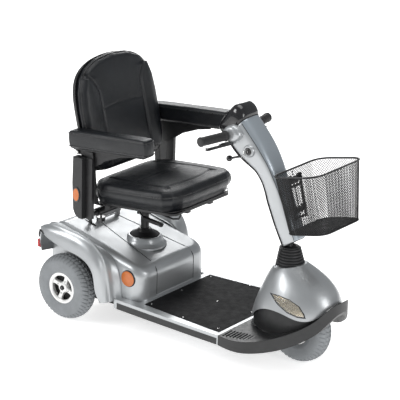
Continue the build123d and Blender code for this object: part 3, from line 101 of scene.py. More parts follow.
def bump(tree, shader, height, strength, distance, bevel):
    """Bump on the shader's normal, over softened edges where bevel is above zero."""
    node = tree.nodes.new("ShaderNodeBump")
    node.inputs["Strength"].default_value = strength
    node.inputs["Distance"].default_value = distance
    link(tree, height, node.inputs["Height"])
    if bevel > 0:
        soft = tree.nodes.new("ShaderNodeBevel")
        soft.samples = 4
        soft.inputs["Radius"].default_value = bevel
        link(tree, soft.outputs["Normal"], node.inputs["Normal"])
    link(tree, node.outputs["Normal"], shader.inputs["Normal"])


def surface(name, colour, rough, metallic=0.0, vary=0.12, patch=14.0, grain=900.0, depth=0.00008,
            strength=0.3, coat=0.0, bevel=0.0012, specular=0.5):
    """General moulded, painted or metal surface with mottled colour, uneven gloss and fine grain."""
    made, tree, shader = new_material(name)
    low = [c * (1 - vary) for c in colour]
    high = [min(c * (1 + vary), 1) for c in colour]
    blotch = noise(tree, patch, 5.0, 0.6)
    link(tree, ramp(tree, blotch, low, high), shader.inputs["Base Color"])
    link(tree, spread(tree, noise(tree, patch * 6, 4.0), rough * 0.85, min(rough * 1.2, 1)),
         shader.inputs["Roughness"])
    shader.inputs["Metallic"].default_value = metallic
    shader.inputs["Coat Weight"].default_value = coat
    shader.inputs["Coat Roughness"].default_value = 0.06
    shader.inputs["Specular IOR Level"].default_value = specular
    bump(tree, shader, noise(tree, grain, 2.0), strength, depth, bevel)
    return made


def vinyl(name, colour):
    """Grained upholstery vinyl: cells between fine creases, soft broad wrinkles."""
    made, tree, shader = new_material(name)
    place = tree.nodes.new("ShaderNodeTexCoord")
    cells = tree.nodes.new("ShaderNodeTexVoronoi")
    cells.feature = "DISTANCE_TO_EDGE"
    cells.inputs["Scale"].default_value = 420
    link(tree, place.outputs["Object"], cells.inputs["Vector"])
    creases = tree.nodes.new("ShaderNodeMapRange")
    creases.inputs["From Max"].default_value = 0.12
    link(tree, cells.outputs["Distance"], creases.inputs["Value"])
    total = tree.nodes.new("ShaderNodeMath")
    total.operation = "MULTIPLY_ADD"
    total.inputs[1].default_value = 6.0
    link(tree, noise(tree, 26, 3.0), total.inputs[0])
    link(tree, creases.outputs["Result"], total.inputs[2])
    link(tree, ramp(tree, noise(tree, 9, 4.0), [c * 0.8 for c in colour], [c * 1.35 for c in colour]),
         shader.inputs["Base Color"])
    link(tree, spread(tree, noise(tree, 60, 4.0), 0.30, 0.42), shader.inputs["Roughness"])
    shader.inputs["Specular IOR Level"].default_value = 0.42
    shader.inputs["Coat Weight"].default_value = 0.08
    shader.inputs["Coat Roughness"].default_value = 0.3
    bump(tree, shader, total.outputs["Value"], 0.35, 0.0005, 0.0)
    return made


def checker_mat(name, colour):
    """Floor mat rubber with a small raised pebble pattern."""
    made, tree, shader = new_material(name)
    place = tree.nodes.new("ShaderNodeTexCoord")
    cells = tree.nodes.new("ShaderNodeTexVoronoi")
    cells.inputs["Scale"].default_value = 260
    link(tree, place.outputs["Object"], cells.inputs["Vector"])
    link(tree, ramp(tree, noise(tree, 12, 5.0), [c * 0.75 for c in colour], [c * 1.5 for c in colour]),
         shader.inputs["Base Color"])
    link(tree, spread(tree, noise(tree, 40, 4.0), 0.60, 0.72), shader.inputs["Roughness"])
    shader.inputs["Specular IOR Level"].default_value = 0.2
    bump(tree, shader, cells.outputs["Distance"], 0.6, 0.0008, 0.0)
    return made


def lens(name, colour, rough, clearness):
    """Clear or tinted moulded lens with fine prism lines."""
    made, tree, shader = new_material(name)
    place = tree.nodes.new("ShaderNodeTexCoord")
    prism = tree.nodes.new("ShaderNodeTexVoronoi")
    prism.inputs["Scale"].default_value = 300
    link(tree, place.outputs["Object"], prism.inputs["Vector"])
    link(tree, ramp(tree, noise(tree, 80, 2.0), [c * 0.9 for c in colour], colour),
         shader.inputs["Base Color"])
    shader.inputs["Roughness"].default_value = rough
    shader.inputs["Transmission Weight"].default_value = clearness
    shader.inputs["Coat Weight"].default_value = 0.5
    bump(tree, shader, prism.outputs["Distance"], 0.5, 0.0006, 0.0)
    return made


SILVER = surface("silver_paint", (0.43, 0.445, 0.455), 0.36, 0.68, vary=0.04, patch=3, grain=2600,
                 depth=0.00003, strength=0.25, coat=0.4, bevel=0)
FRONT_SILVER = surface("cool_silver_paint", (0.37, 0.41, 0.445), 0.34, 0.68, vary=0.04, patch=3, grain=2600,
                       depth=0.00003, strength=0.25, coat=0.4, bevel=0)
CHARCOAL = surface("charcoal_plastic", (0.013, 0.0134, 0.014), 0.40, vary=0.2, grain=1400, depth=0.00012,
                   strength=0.4, bevel=0.002)
GLOSS_BLACK = surface("gloss_black_plastic", (0.010, 0.010, 0.011), 0.16, vary=0.2, grain=700, depth=0.00002,
                      strength=0.2, coat=0.5, bevel=0.0015)
BLACK_METAL = surface("black_powder_coat", (0.014, 0.014, 0.015), 0.38, 0.2, vary=0.25, grain=1800,
                      depth=0.00008, strength=0.4)
STEEL = surface("bright_steel", (0.62, 0.62, 0.61), 0.22, 1.0, vary=0.06, grain=1200, depth=0.00003)
ALLOY = surface("silver_wheel_paint", (0.74, 0.74, 0.73), 0.32, 0.35, vary=0.06, grain=1500, depth=0.00004,
                coat=0.2, bevel=0.002)
TYRE = surface("grey_tyre_rubber", (0.20, 0.212, 0.222), 0.66, vary=0.10, patch=24, grain=1600,
               depth=0.00015, strength=0.5, bevel=0.001)
RUBBER = surface("black_rubber", (0.017, 0.017, 0.018), 0.52, vary=0.25, grain=1200, depth=0.00012,
                 strength=0.5, bevel=0.001)
MAT = checker_mat("footboard_mat", (0.0045, 0.0045, 0.0052))
VINYL = vinyl("black_vinyl", (0.0040, 0.0050, 0.0068))
PIPING = surface("vinyl_piping", (0.014, 0.014, 0.015), 0.30, vary=0.2, grain=900, depth=0.0001)
AMBER = lens("amber_reflector", (0.50, 0.12, 0.006), 0.22, 0.0)
RED = lens("red_lamp", (0.40, 0.008, 0.010), 0.18, 0.0)
CLEAR = lens("clear_lens", (0.96, 0.97, 0.98), 0.03, 0.95)
BULB = surface("warm_reflector", (0.85, 0.72, 0.50), 0.16, 0.8, vary=0.1, grain=300, depth=0.0003)
BATTERY = surface("battery_case", (0.05, 0.05, 0.06), 0.5, vary=0.15)
# Near-black for the dark panel seams, and painted shade in the wheel pockets, under the fenders and in the
# freewheel slot.
SEAM_DARK_AND_PAINTED_SHADE = surface("seam_dark_and_painted_shade", (0.010, 0.010, 0.010), 0.8, vary=0.3)


# -------------------- mesh helpers
def finish_piece(piece, material, body, replaced=()):
    """Gives a piece its finish and the CAD body that it rides on."""
    piece.data.materials.clear()
    piece.data.materials.append(material)
    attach(piece, body)
    if replaced:
        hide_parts(*replaced)
    return piece


def mesh_piece(name, points, faces, smooth=40):
    """Object from points in millimetres, shaded smooth below the given angle."""
    data = bpy.data.meshes.new(name)
    data.from_pydata([tuple(c * MM for c in p) for p in points], [], faces)
    data.update()
    made = bmesh.new()
    made.from_mesh(data)
    bmesh.ops.remove_doubles(made, verts=made.verts, dist=1e-6)
    bmesh.ops.recalc_face_normals(made, faces=made.faces)
    made.to_mesh(data)
    made.free()
    data.shade_smooth()
    data.set_sharp_from_angle(angle=math.radians(smooth))
    piece = bpy.data.objects.new(name, data)
    bpy.context.scene.collection.objects.link(piece)
    return piece


def loft_faces(rows, columns, closed=True):
    """Quads between rings of points."""
    span = columns if closed else columns - 1
    faces = []
    for i in range(rows - 1):
        for j in range(span):
            k = (j + 1) % columns
            faces.append((i * columns + j, i * columns + k, (i + 1) * columns + k, (i + 1) * columns + j))
    return faces


def loft(name, rings, smooth=40):
    """Closed skin through rings of equal length, with flat ends."""
    columns = len(rings[0])
    points = [p for ring in rings for p in ring]
    faces = loft_faces(len(rings), columns)
    faces.append(tuple(range(columns))[::-1])
    start = (len(rings) - 1) * columns
    faces.append(tuple(range(start, start + columns)))
    return mesh_piece(name, points, faces, smooth)


def join(name, pieces):
    """One object from several of the same finish."""
    bpy.ops.object.select_all(action="DESELECT")
    for piece in pieces:
        piece.select_set(True)
    bpy.context.view_layer.objects.active = pieces[0]
    bpy.ops.object.join()
    pieces[0].name = name
    return pieces[0]


def modify(piece, kind, **settings):
    """Adds a modifier with its settings."""
    made = piece.modifiers.new(kind.lower(), kind)
    for key, value in settings.items():
        setattr(made, key, value)
    return made


def tube(name, points, radius, closed=False, resolution=3):
    """Round wire or tube along points in millimetres, as a mesh."""
    curve = bpy.data.curves.new(name, "CURVE")
    curve.dimensions = "3D"
    curve.bevel_depth = radius * MM
    curve.bevel_resolution = resolution
    curve.use_fill_caps = True
    line = curve.splines.new("POLY")
    line.points.add(len(points) - 1)
    for target, point in zip(line.points, points):
        target.co = (*(c * MM for c in point), 1)
    line.use_cyclic_u = closed
    holder = bpy.data.objects.new(name, curve)
    bpy.context.scene.collection.objects.link(holder)
    bpy.context.view_layer.update()
    data = bpy.data.meshes.new_from_object(holder)
    bpy.data.objects.remove(holder)
    data.shade_smooth()
    data.set_sharp_from_angle(angle=math.radians(50))
    piece = bpy.data.objects.new(name, data)
    bpy.context.scene.collection.objects.link(piece)
    return piece


def turned(name, profile, centre, axis, steps=48):
    """Solid of revolution: (radius, height) along axis from centre."""
    axis = Vector(axis).normalized()
    side = axis.orthogonal().normalized()
    other = axis.cross(side)
    rings = []
    for radius, height in profile:
        ring = []
        for k in range(steps):
            angle = TAU * k / steps
            spoke = side * math.cos(angle) + other * math.sin(angle)
            ring.append(Vector(centre) + axis * height + spoke * radius)
        rings.append(ring)
    return loft(name, rings, smooth=35)


def smooth_line(points, count):
    """Catmull-Rom line resampled to count points."""
    pts = np.array(points, float)
    padded = np.vstack([2 * pts[0] - pts[1], pts, 2 * pts[-1] - pts[-2]])
    made = []
    for s in np.linspace(0, len(pts) - 1, count):
        i = min(int(s), len(pts) - 2)
        t = s - i
        a, b, c, d = padded[i:i + 4]
        made.append(0.5 * (2 * b + (c - a) * t + (2 * a - 5 * b + 4 * c - d) * t * t
                           + (3 * b - a - 3 * c + d) * t ** 3))
    return made


def screw_head(name, centre, axis, radius, height=2.5):
    """Domed screw head with a round socket."""
    r = radius
    return turned(name, [(r * 0.45, height - 1.4), (r * 0.45, height), (r * 0.8, height), (r, height * 0.5),
                         (r, -0.5)], centre, axis, 24)


# -------------------- padded parts
def polar_radius(outline, centre, angles):
    """Distance from centre to a star-shaped closed outline in each direction."""
    dense = []
    for a, b in zip(outline, outline[1:] + outline[:1]):
        for t in np.linspace(0, 1, 24, endpoint=False):
            dense.append((a[0] + (b[0] - a[0]) * t - centre[0], a[1] + (b[1] - a[1]) * t - centre[1]))
    dense = np.array(dense)
    phi = np.arctan2(dense[:, 1], dense[:, 0])
    rho = np.hypot(dense[:, 0], dense[:, 1])
    order = np.argsort(phi)
    return np.interp(angles, phi[order], rho[order], period=TAU)


def block_grid(cells, closed=True):
    """Cube surface of grid cells, as a bmesh with corners at plus and minus one."""
    made = bmesh.new()
    nu, nv, nw = cells
    index = {}

    def vertex(a, b, c):
        key = (round(a, 6), round(b, 6), round(c, 6))
        if key not in index:
            index[key] = made.verts.new(key)
        return index[key]

    us, vs, ws = np.linspace(-1, 1, nu + 1), np.linspace(-1, 1, nv + 1), np.linspace(-1, 1, nw + 1)
    for c in ((-1, 1) if closed else (1,)):
        for i in range(nu):
            for j in range(nv):
                made.faces.new([vertex(us[i], vs[j], c), vertex(us[i + 1], vs[j], c),
                                vertex(us[i + 1], vs[j + 1], c), vertex(us[i], vs[j + 1], c)])
    for k in range(nw):
        for s in (-1, 1):
            for i in range(nu):
                made.faces.new([vertex(us[i], s, ws[k]), vertex(us[i + 1], s, ws[k]),
                                vertex(us[i + 1], s, ws[k + 1]), vertex(us[i], s, ws[k + 1])])
            for j in range(nv):
                made.faces.new([vertex(s, vs[j], ws[k]), vertex(s, vs[j + 1], ws[k]),
                                vertex(s, vs[j + 1], ws[k + 1]), vertex(s, vs[j], ws[k + 1])])
    return made


def padded_block(name, outline, centre, halves, thickness, radius, crown, bulge, seams, place, cells,
                 undercut=0.0):
    """Upholstered block. seams are (distance function, depth, width) in the block's own plane; the
    bottom is drawn in by undercut."""
    made = block_grid(cells)
    verts = list(made.verts)
    grid = np.array([v.co for v in verts])
    a, b, c = grid[:, 0], grid[:, 1], grid[:, 2]
    reach = np.maximum(np.abs(a), np.abs(b))
    phi = np.arctan2(b * halves[1], a * halves[0])
    rho = polar_radius(outline, centre, phi)
    gap = (1 - reach) * rho
    rho = rho - undercut * ((1 - c) / 2) ** 1.3 * np.where(np.cos(phi) > -0.6, 1, 0.25)
    inner = np.clip(radius - gap, 0, radius)
    drop = radius - np.sqrt(np.maximum(radius ** 2 - inner ** 2, 0))
    flat = np.abs(c) > 0.999
    height = np.where(flat, np.sign(c) * (thickness / 2 - drop), c * (thickness / 2 - radius))
    out = np.where(reach > 0.999, bulge * (1 - c ** 2), 0)
    u = centre[0] + np.cos(phi) * (reach * rho + out)
    v = centre[1] + np.sin(phi) * (reach * rho + out)
    top = c > 0.999
    height = height + np.where(top, crown * (1 - a ** 4) * (1 - b ** 4), 0)
    for distance, depth, width in seams:
        away = distance(u, v)
        height = height - np.where(top, depth * np.exp(-(away / width) ** 2), 0)
    for vert, x, y, z in zip(verts, u, v, height + thickness / 2):
        vert.co = place @ Vector((x * MM, y * MM, z * MM))
    bmesh.ops.recalc_face_normals(made, faces=made.faces)
    data = bpy.data.meshes.new(name)
    made.to_mesh(data)
    made.free()
    data.shade_smooth()
    piece = bpy.data.objects.new(name, data)
    bpy.context.scene.collection.objects.link(piece)
    return piece


def plane_at(origin, x_dir, z_dir):
    """Matrix from a plane's own coordinates (metres) to the frame."""
    x_axis = Vector(x_dir).normalized()
    z_axis = Vector(z_dir).normalized()
    y_axis = z_axis.cross(x_axis)
    turn = Matrix((x_axis, y_axis, z_axis)).transposed().to_4x4()
    return Matrix.Translation(Vector(origin) * MM) @ turn


def along(place, points, lift):
    """Points of the plane's outline carried into the frame, in millimetres."""
    return [tuple(c / MM for c in place @ Vector((u * MM, v * MM, lift * MM))) for u, v in points]


SEAT_TILT = math.radians(5.5)
SEAT_AXIS = (math.cos(SEAT_TILT), 0, math.sin(SEAT_TILT))
SEAT_UP = (-math.sin(SEAT_TILT), 0, math.cos(SEAT_TILT))
seat_place = plane_at((-200, 0, 495), SEAT_AXIS, SEAT_UP)
SEAT_HALF_LINE = [(192, 0), (191, 80), (186, 140), (171, 182), (138, 206), (60, 214), (-60, 215), (-150, 214),
                  (-176, 204), (-196, 184), (-212, 160), (-217, 100)]
SEAT_LINE = SEAT_HALF_LINE + [(-217, -100)] + [(u, -v) for u, v in SEAT_HALF_LINE[1:-1]][::-1]


def seat_side_seam(u, v):
    return np.where((u > -175) & (u < 128), np.abs(np.abs(v) - 152 + 0.0007 * (u - 20) ** 2), 99.0)


def seat_front_seam(u, v):
    return np.where(np.abs(v) < 150, np.abs(u - 128 + 0.0012 * v ** 2), 99.0)


def seat_cross_seam(u, v):
    return np.where(np.abs(v) < 146, np.abs(u + 30), 99.0)


SEAT_THICKNESS = 82.0
seat_cushion = padded_block("seat_cushion_vinyl", SEAT_LINE, (0, 0), (188, 211), SEAT_THICKNESS, 22, 9, 6,
                            [(seat_side_seam, 5.5, 5), (seat_front_seam, 5.0, 5), (seat_cross_seam, 2.0, 4)],
                            seat_place, (84, 92, 12), 15)
finish_piece(seat_cushion, VINYL, "seat", ("seat_cushion",))


def inset_line(outline, centre, amount):
    """Outline moved towards its centre by the amount."""
    made = []
    for u, v in smooth_line(outline + outline[:1], 120)[:-1]:
        away = math.hypot(u - centre[0], v - centre[1])
        share = (away - amount) / away
        made.append((centre[0] + (u - centre[0]) * share, centre[1] + (v - centre[1]) * share))
    return made


seat_piping = join("seat_piping", [
    tube("seat_piping_top", along(seat_place, inset_line(SEAT_LINE, (0, 0), 3), SEAT_THICKNESS - 20),
         2.6, True),
    tube("seat_piping_low", along(seat_place, inset_line(SEAT_LINE, (0, 0), 14), 4), 2.0, True)])
finish_piece(seat_piping, PIPING, "seat")

RECLINE = math.radians(14.5)
back_place = plane_at((-368 - 48 * math.cos(RECLINE), 0, 588 - 48 * math.sin(RECLINE)), (0, 1, 0),
                      (math.cos(RECLINE), 0, math.sin(RECLINE)))
BACK_HALF_LINE = [(0, 14), (120, 14), (162, 18), (188, 38), (205, 80), (214, 160), (214, 262), (206, 325),
                  (186, 372), (150, 405), (92, 428), (0, 437)]
BACK_LINE = BACK_HALF_LINE + [(-u, v) for u, v in BACK_HALF_LINE[1:-1]][::-1]
BACK_CENTRE = (0, 215)


def back_side_seam(u, v):
    inner = 122 + 56 * np.clip((v - 300) / 90, 0, 1) ** 1.6
    return np.where((v > 20) & (v < 392), np.abs(np.abs(u) - inner), 99.0)


def back_cross_seam(u, v):
    return np.where(np.abs(u) < 122, np.abs(v - 250 + 0.0006 * u ** 2), 99.0)


def back_bolster(u, v):
    return np.where((v > 40) & (v < 370), np.abs(np.abs(u) - 172), 99.0 + 0 * u)


BACK_THICKNESS = 48.0
back_cushion = padded_block("back_cushion_vinyl", BACK_LINE, BACK_CENTRE, (213, 211), BACK_THICKNESS,
                            18, 8, 3, [(back_side_seam, 7.0, 5.0), (back_cross_seam, 3.0, 4),
                                       (back_bolster, -9.0, 34)],
                            back_place, (90, 90, 8))
finish_piece(back_cushion, VINYL, "seat_back", ("back_cushion",))
back_piping = join("back_piping", [
    tube("back_piping_front", along(back_place, inset_line(BACK_LINE, BACK_CENTRE, 2), BACK_THICKNESS - 14),
         2.2, True),
    tube("back_piping_rear", along(back_place, inset_line(BACK_LINE, BACK_CENTRE, 1), 3), 3.2, True)])
finish_piece(back_piping, PIPING, "seat_back")
back_edge = loft("back_edge_band", [along(back_place, inset_line(BACK_LINE, BACK_CENTRE, inset), lift)
                                    for lift, inset in ((-15, 9), (-12, 5), (4, 4))], smooth=40)
finish_piece(back_edge, CHARCOAL, "seat_back")

PAD_LINE = [(188, 0), (187, 18), (180, 27), (150, 28.5), (0, 28.5), (-150, 28.5), (-182, 27),
            (-188, 18), (-188, 0)]
PAD_LINE = PAD_LINE + [(u, -v) for u, v in PAD_LINE[1:-1]][::-1]
for side_name, side in SIDES:
    pad_centre = (-463 + 188 * SEAT_AXIS[0], side * 247.5, 699 + 188 * SEAT_AXIS[2])
    pad_place = plane_at(pad_centre, SEAT_AXIS, SEAT_UP)
    pad = padded_block(f"{side_name}_arm_pad_vinyl", PAD_LINE, (0, 0), (188, 28.5), 66, 11, 3, 2,
                       [], pad_place, (96, 16, 10))
    finish_piece(pad, VINYL, f"{side_name}_armrest", (f"{side_name}_armrest_pad",))
    seam = join(f"{side_name}_arm_pad_piping", [
        tube("pad_seam_top", along(pad_place, inset_line(PAD_LINE, (0, 0), 0.5), 57), 1.6, True),
        tube("pad_seam_low", along(pad_place, inset_line(PAD_LINE, (0, 0), 0.5), 9), 1.6, True)])
    finish_piece(seam, PIPING, f"{side_name}_armrest")


# -------------------- wheels
REAR_AXLE_X = -483
FRONT_AXLE_X = 435
AXLE_Z = 130
REAR_WHEEL_Y = 253
TYRE_PROFILE = [(57, -30), (66, -36.5), (76, -40), (88, -42), (100, -41.2), (110, -37.5), (117, -32),
                (123, -24), (127, -14), (129, -5), (129, 5), (127, 14), (123, 24), (117, 32), (110, 37.5),
                (100, 41.2), (88, 42), (76, 40), (66, 36.5), (57, 30)]
TREAD_FROM = 108
TYRE_STEPS = 528
TREAD_DEPTH = 3.2
TREAD_PITCH = TAU / 44


def tyre(name, centre):
    """Tyre with a blocked tread, raised rings on the walls, and a seat on the rim."""
    profile = smooth_line(TYRE_PROFILE, 76)
    rings = []
    for k in range(TYRE_STEPS):
        angle = TAU * k / TYRE_STEPS
        ring = []
        for r, y in profile:
            if r > TREAD_FROM:
                shift = TREAD_PITCH * (0.5 if abs(y) > 17 else 0.0) + 0.0035 * abs(y)
                phase = ((angle + shift) / TREAD_PITCH) % 1
                cross = phase < 0.30
                ring_groove = 14.5 < abs(y) < 18.5 or abs(y) < 1.8
                if cross or ring_groove:
                    r = r - TREAD_DEPTH * min((r - TREAD_FROM) / 6, 1)
            elif 70 < r < 73 or 92 < r < 94.5:
                y = y + math.copysign(0.9, y)
            ring.append((centre[0] + r * math.sin(angle), centre[1] + y, centre[2] + r * math.cos(angle)))
        rings.append(ring)
    columns = len(rings[0])
    points = [p for ring in rings for p in ring]
    faces = []
    for k in range(TYRE_STEPS):
        n = (k + 1) % TYRE_STEPS
        for j in range(columns - 1):
            faces.append((k * columns + j, n * columns + j, n * columns + j + 1, k * columns + j + 1))
        faces.append((k * columns, k * columns + columns - 1, n * columns + columns - 1, n * columns))
    return mesh_piece(name, points, faces, 50)


def box_along(name, start, end, up, sections):
    """Bar from start to end; sections are (share, half width, low, high) across it."""
    start, end, up = Vector(start), Vector(end), Vector(up)
    across = (end - start).normalized().cross(up)
    rings = []
    for share, half, low, high in sections:
        at = start.lerp(end, share)
        chamfer = min(half, (high - low) / 2) * 0.35
        rings.append([at + across * u + up * h for u, h in
                      ((-half, low), (half, low), (half, high - chamfer), (half - chamfer, high),
                       (chamfer - half, high), (-half, high - chamfer))])
    return loft(name, rings, smooth=30)


SPOKE_TURN = 0.35


def spoked_rim(side, centre, body, node):
    """Rim ring, four broad spokes, hub and bolts on the outer face of one wheel."""
    x, y, z = centre
    outward = (0, side, 0)
    parts = [turned("ring", [(56, -30), (56, 22), (49.5, 24), (49, 30), (51.5, 33), (57, 34.5), (62, 33.5),
                             (63, 30), (60.5, 27), (58, 20), (58, -30)], centre, outward, 96),
             turned("hub", [(1, 29), (12, 29), (19, 27), (22, 22), (23, 6), (1, 6)], centre, outward, 48)]
    for k in range(4):
        angle = TAU * k / 4 + SPOKE_TURN
        arm = Vector((math.sin(angle), 0, math.cos(angle)))
        parts.append(box_along("spoke", Vector(centre) + arm * 14, Vector(centre) + arm * 53, outward,
                               [(0, 11, 8, 25), (0.35, 8, 10, 24), (0.7, 8, 14, 25), (0.9, 11, 16, 27),
                                (1, 15, 18, 28)]))
    rim = join(f"{body}_spoked_rim", parts)
    finish_piece(rim, ALLOY, body, (node,))
    # Near-black disc under the spokes: painted shade in the wheel's pockets.
    pocket_shade_disc = turned(f"{body}_pocket_painted_shade", [(1, 9), (56, 9), (56, 5), (1, 5)], centre, outward, 64)
    finish_piece(pocket_shade_disc, SEAM_DARK_AND_PAINTED_SHADE, body)
    bolts = []
    for k in range(4):
        for offset, r, size in ((SPOKE_TURN, 27, 3.2), (SPOKE_TURN + 0.26, 50, 1.8),
                                (SPOKE_TURN - 0.26, 50, 1.8)):
            angle = TAU * k / 4 + offset
            bolts.append(screw_head("bolt", (x + r * math.sin(angle), y + side * 24, z + r * math.cos(angle)),
                                    outward, size, 3))
    finish_piece(join(f"{body}_bolts", bolts), STEEL, body)
    cap = turned(f"{body}_hub_cap", [(1, 36), (6, 36), (9, 34), (10.5, 31), (11, 28)], centre, outward, 6)
    finish_piece(cap, GLOSS_BLACK, body)


for side_name, side in SIDES:
    hub = (REAR_AXLE_X, side * REAR_WHEEL_Y, AXLE_Z)
    wheel = tyre(f"rear_{side_name}_tread", hub)
    finish_piece(wheel, TYRE, f"rear_{side_name}_wheel", (f"rear_{side_name}_tyre",))
    spoked_rim(side, hub, f"rear_{side_name}_wheel", f"rear_{side_name}_rim")
front_tread = tyre("front_tread", (FRONT_AXLE_X, 0, AXLE_Z))
finish_piece(front_tread, TYRE, "front_wheel", ("front_tyre",))

# -------------------- rear body
BODY_PROFILE = [(-604, 351), (-556, 356), (-330, 300), (-176, 262), (-150, 255)]
BODY_CORNER = 54.0
BODY_FRONT_X = -152
BODY_TAIL_X = -602
BODY_HALF = 204
BODY_LINE = [(BODY_FRONT_X, 0)] + [
    (BODY_FRONT_X - BODY_CORNER * (1 - math.cos(t)), BODY_HALF - BODY_CORNER * (1 - math.sin(t)))
    for t in np.linspace(0, math.pi / 2, 12)] + [(BODY_TAIL_X, BODY_HALF)]
BODY_LINE = BODY_LINE + [(x, -y) for x, y in BODY_LINE[1:]][::-1]
BODY_CENTRE = (-360, 0)
BODY_EDGE = 36.0
SIDE_LOW = 118.0
TAIL_LOW = 192.0
COVER_REAR_X = -500
COVER_REAR_HALF = 50
COVER_LOW_Z = 142
COVER_FACE_X = -151.8


def body_height(x):
    return np.interp(x, [p[0] for p in BODY_PROFILE], [p[1] for p in BODY_PROFILE])


def cover_half(x):
    return COVER_REAR_HALF + (np.asarray(x) - COVER_REAR_X) * 64 / 348


def body_mesh():
    """Centre body: sloping deck, rounded edges and upright sides, as points and faces."""
    made = block_grid((150, 110, 14), closed=False)
    verts = list(made.verts)
    grid = np.array([v.co for v in verts])
    a, b, c = grid[:, 0], grid[:, 1], grid[:, 2]
    reach = np.maximum(np.abs(a), np.abs(b))
    phi = np.arctan2(b * BODY_HALF, a * 225)
    rho = polar_radius(BODY_LINE, BODY_CENTRE, phi)
    inner = np.clip(BODY_EDGE - (1 - reach) * rho, 0, BODY_EDGE)
    drop = BODY_EDGE - np.sqrt(np.maximum(BODY_EDGE ** 2 - inner ** 2, 0))
    x = BODY_CENTRE[0] + np.cos(phi) * reach * rho
    y = np.sin(phi) * reach * rho
    top = body_height(x)
    low = np.where(x > -430, SIDE_LOW, TAIL_LOW)
    z = np.where(c > 0.999, top - drop, low + (top - BODY_EDGE - low) * (c + 1) / 2)
    for vert, px, py, pz in zip(verts, x, y, z):
        vert.co = (px, py, pz)
    made.verts.index_update()
    points = [tuple(v.co) for v in made.verts]
    faces = [tuple(v.index for v in f.verts) for f in made.faces]
    made.free()
    return points, faces


body_points, body_faces = body_mesh()
cover_faces, shroud_faces = [], []
for face in body_faces:
    middle = np.mean([body_points[k] for k in face], axis=0)
    inside = (middle[0] > COVER_REAR_X and abs(middle[1]) < cover_half(middle[0])
              and middle[2] > COVER_LOW_Z)
    (cover_faces if inside else shroud_faces).append(face)
shroud_parts = [mesh_piece("shroud", body_points, shroud_faces, 60)]

FENDER_ROOT = [(-604, 203, 351), (-556, 203, 355), (-480, 203, 336), (-400, 203, 316), (-335, 204, 300),
               (-287, 205, 266), (-258, 206, 205), (-249, 206, 118)]
FENDER_RIDGE = [(-604, 250, 352), (-550, 258, 370), (-480, 261, 373), (-400, 261, 361), (-342, 259, 335),
                (-303, 256, 290), (-280, 252, 215), (-268, 247, 118)]
FENDER_LIP = [(-602, 274, 336), (-552, 289, 319), (-475, 292, 298), (-402, 292, 286), (-354, 292, 265),
              (-326, 291, 228), (-313, 289, 160), (-296, 284, 118)]


def fender_rings(side):
    """Across-the-band rings from the body to the lip and back inside."""
    rings = []
    lines = [smooth_line(line, 90) for line in (FENDER_ROOT, FENDER_RIDGE, FENDER_LIP)]
    for root, ridge, lip in zip(*lines):
        root, ridge, lip = np.array(root), np.array(ridge), np.array(lip)
        radial = ridge - np.array([REAR_AXLE_X, ridge[1], AXLE_Z])
        radial = radial / np.linalg.norm(radial)
        hollow = root * 0.45 + ridge * 0.55 - radial * 3.5
        shoulder = ridge * 0.5 + lip * 0.5 + radial * 5 + np.array([0, 6, 0])
        near = ridge * 0.85 + lip * 0.15 + np.array([0, 1.5, 0]) + radial * 1
        edge = lip + np.array([0, -7, 0]) + radial * 2
        start = root - radial * 6 - np.array([0, 6, 0])
        across = smooth_line([start, root, hollow, ridge, near, shoulder, lip], 40)
        across = list(across) + [edge, edge + radial * 5]
        rings.append([(p[0], side * p[1], p[2]) for p in across])
    return rings


for side_name, side in SIDES:
    band = fender_rings(side)
    columns = len(band[0])
    shroud_parts.append(mesh_piece("band", [p for ring in band for p in ring],
                                   loft_faces(len(band), columns, False), 60))
    tail = [(192, 240), (270, 252), (280, 290), (273, 332), (250, 351), (192, 350)]
    shroud_parts.append(loft("tail", [[(x, side * y, z) for y, z in tail]
                                      for x in (BODY_TAIL_X, BODY_TAIL_X + 5)], smooth=30))
    # Near-black strip under each fender lip: painted shade inside the wheel arch.
    strips = []
    for at in smooth_line(FENDER_LIP, 60):
        out = Vector((at[0] - REAR_AXLE_X, 0, at[2] - AXLE_Z)).normalized() * 3
        strips.append([(at[0] + out.x, side * y, at[2] + out.z) for y in (196, 240, 283)])
    arch = mesh_piece(f"{side_name}_arch_painted_shade", [p for ring in strips for p in ring],
                      loft_faces(len(strips), 3, False), 60)
    modify(arch, "SOLIDIFY", thickness=2 * MM, offset=0)
    finish_piece(arch, SEAM_DARK_AND_PAINTED_SHADE, "chassis")
rear_skin = join("rear_shroud_skin", shroud_parts)
modify(rear_skin, "SOLIDIFY", thickness=2.5 * MM, offset=-1)
finish_piece(rear_skin, SILVER, "chassis", ("rear_shroud",))
collar_ring = turned("collar", [(57, 290), (57, 317), (59, 319), (63, 319), (67, 314), (70, 305), (75, 295),
                                (86, 285), (86, 278)], (-306, 0, 0), (0, 0, 1), 96)
cover_skin = join("battery_cover_skin", [mesh_piece("cover", body_points, cover_faces, 60), collar_ring])
finish_piece(cover_skin, SILVER, "chassis", ("battery_cover",))
cover_line = [(x, float(body_height(x)) + 0.2) for x in np.linspace(COVER_REAR_X, -190, 30)]
cover_line += [(COVER_FACE_X - BODY_EDGE * (1 - math.sin(t)),
                float(body_height(-166)) - BODY_EDGE * (1 - math.cos(t)))
               for t in np.linspace(0.1, math.pi / 2, 8)] + [(COVER_FACE_X, COVER_LOW_Z)]
cover_seams = [tube("seam", [(x, sign * float(cover_half(x)), z) for x, z in cover_line], 1.0)
               for sign in (-1, 1)]
cover_seams.append(tube("seam", [(COVER_REAR_X, y, float(body_height(COVER_REAR_X)) + 0.2)
                                 for y in (-COVER_REAR_HALF, COVER_REAR_HALF)], 1.5))
finish_piece(join("battery_cover_seam", cover_seams), SEAM_DARK_AND_PAINTED_SHADE, "chassis")
FREEWHEEL_X = -500
FREEWHEEL_Y = -96
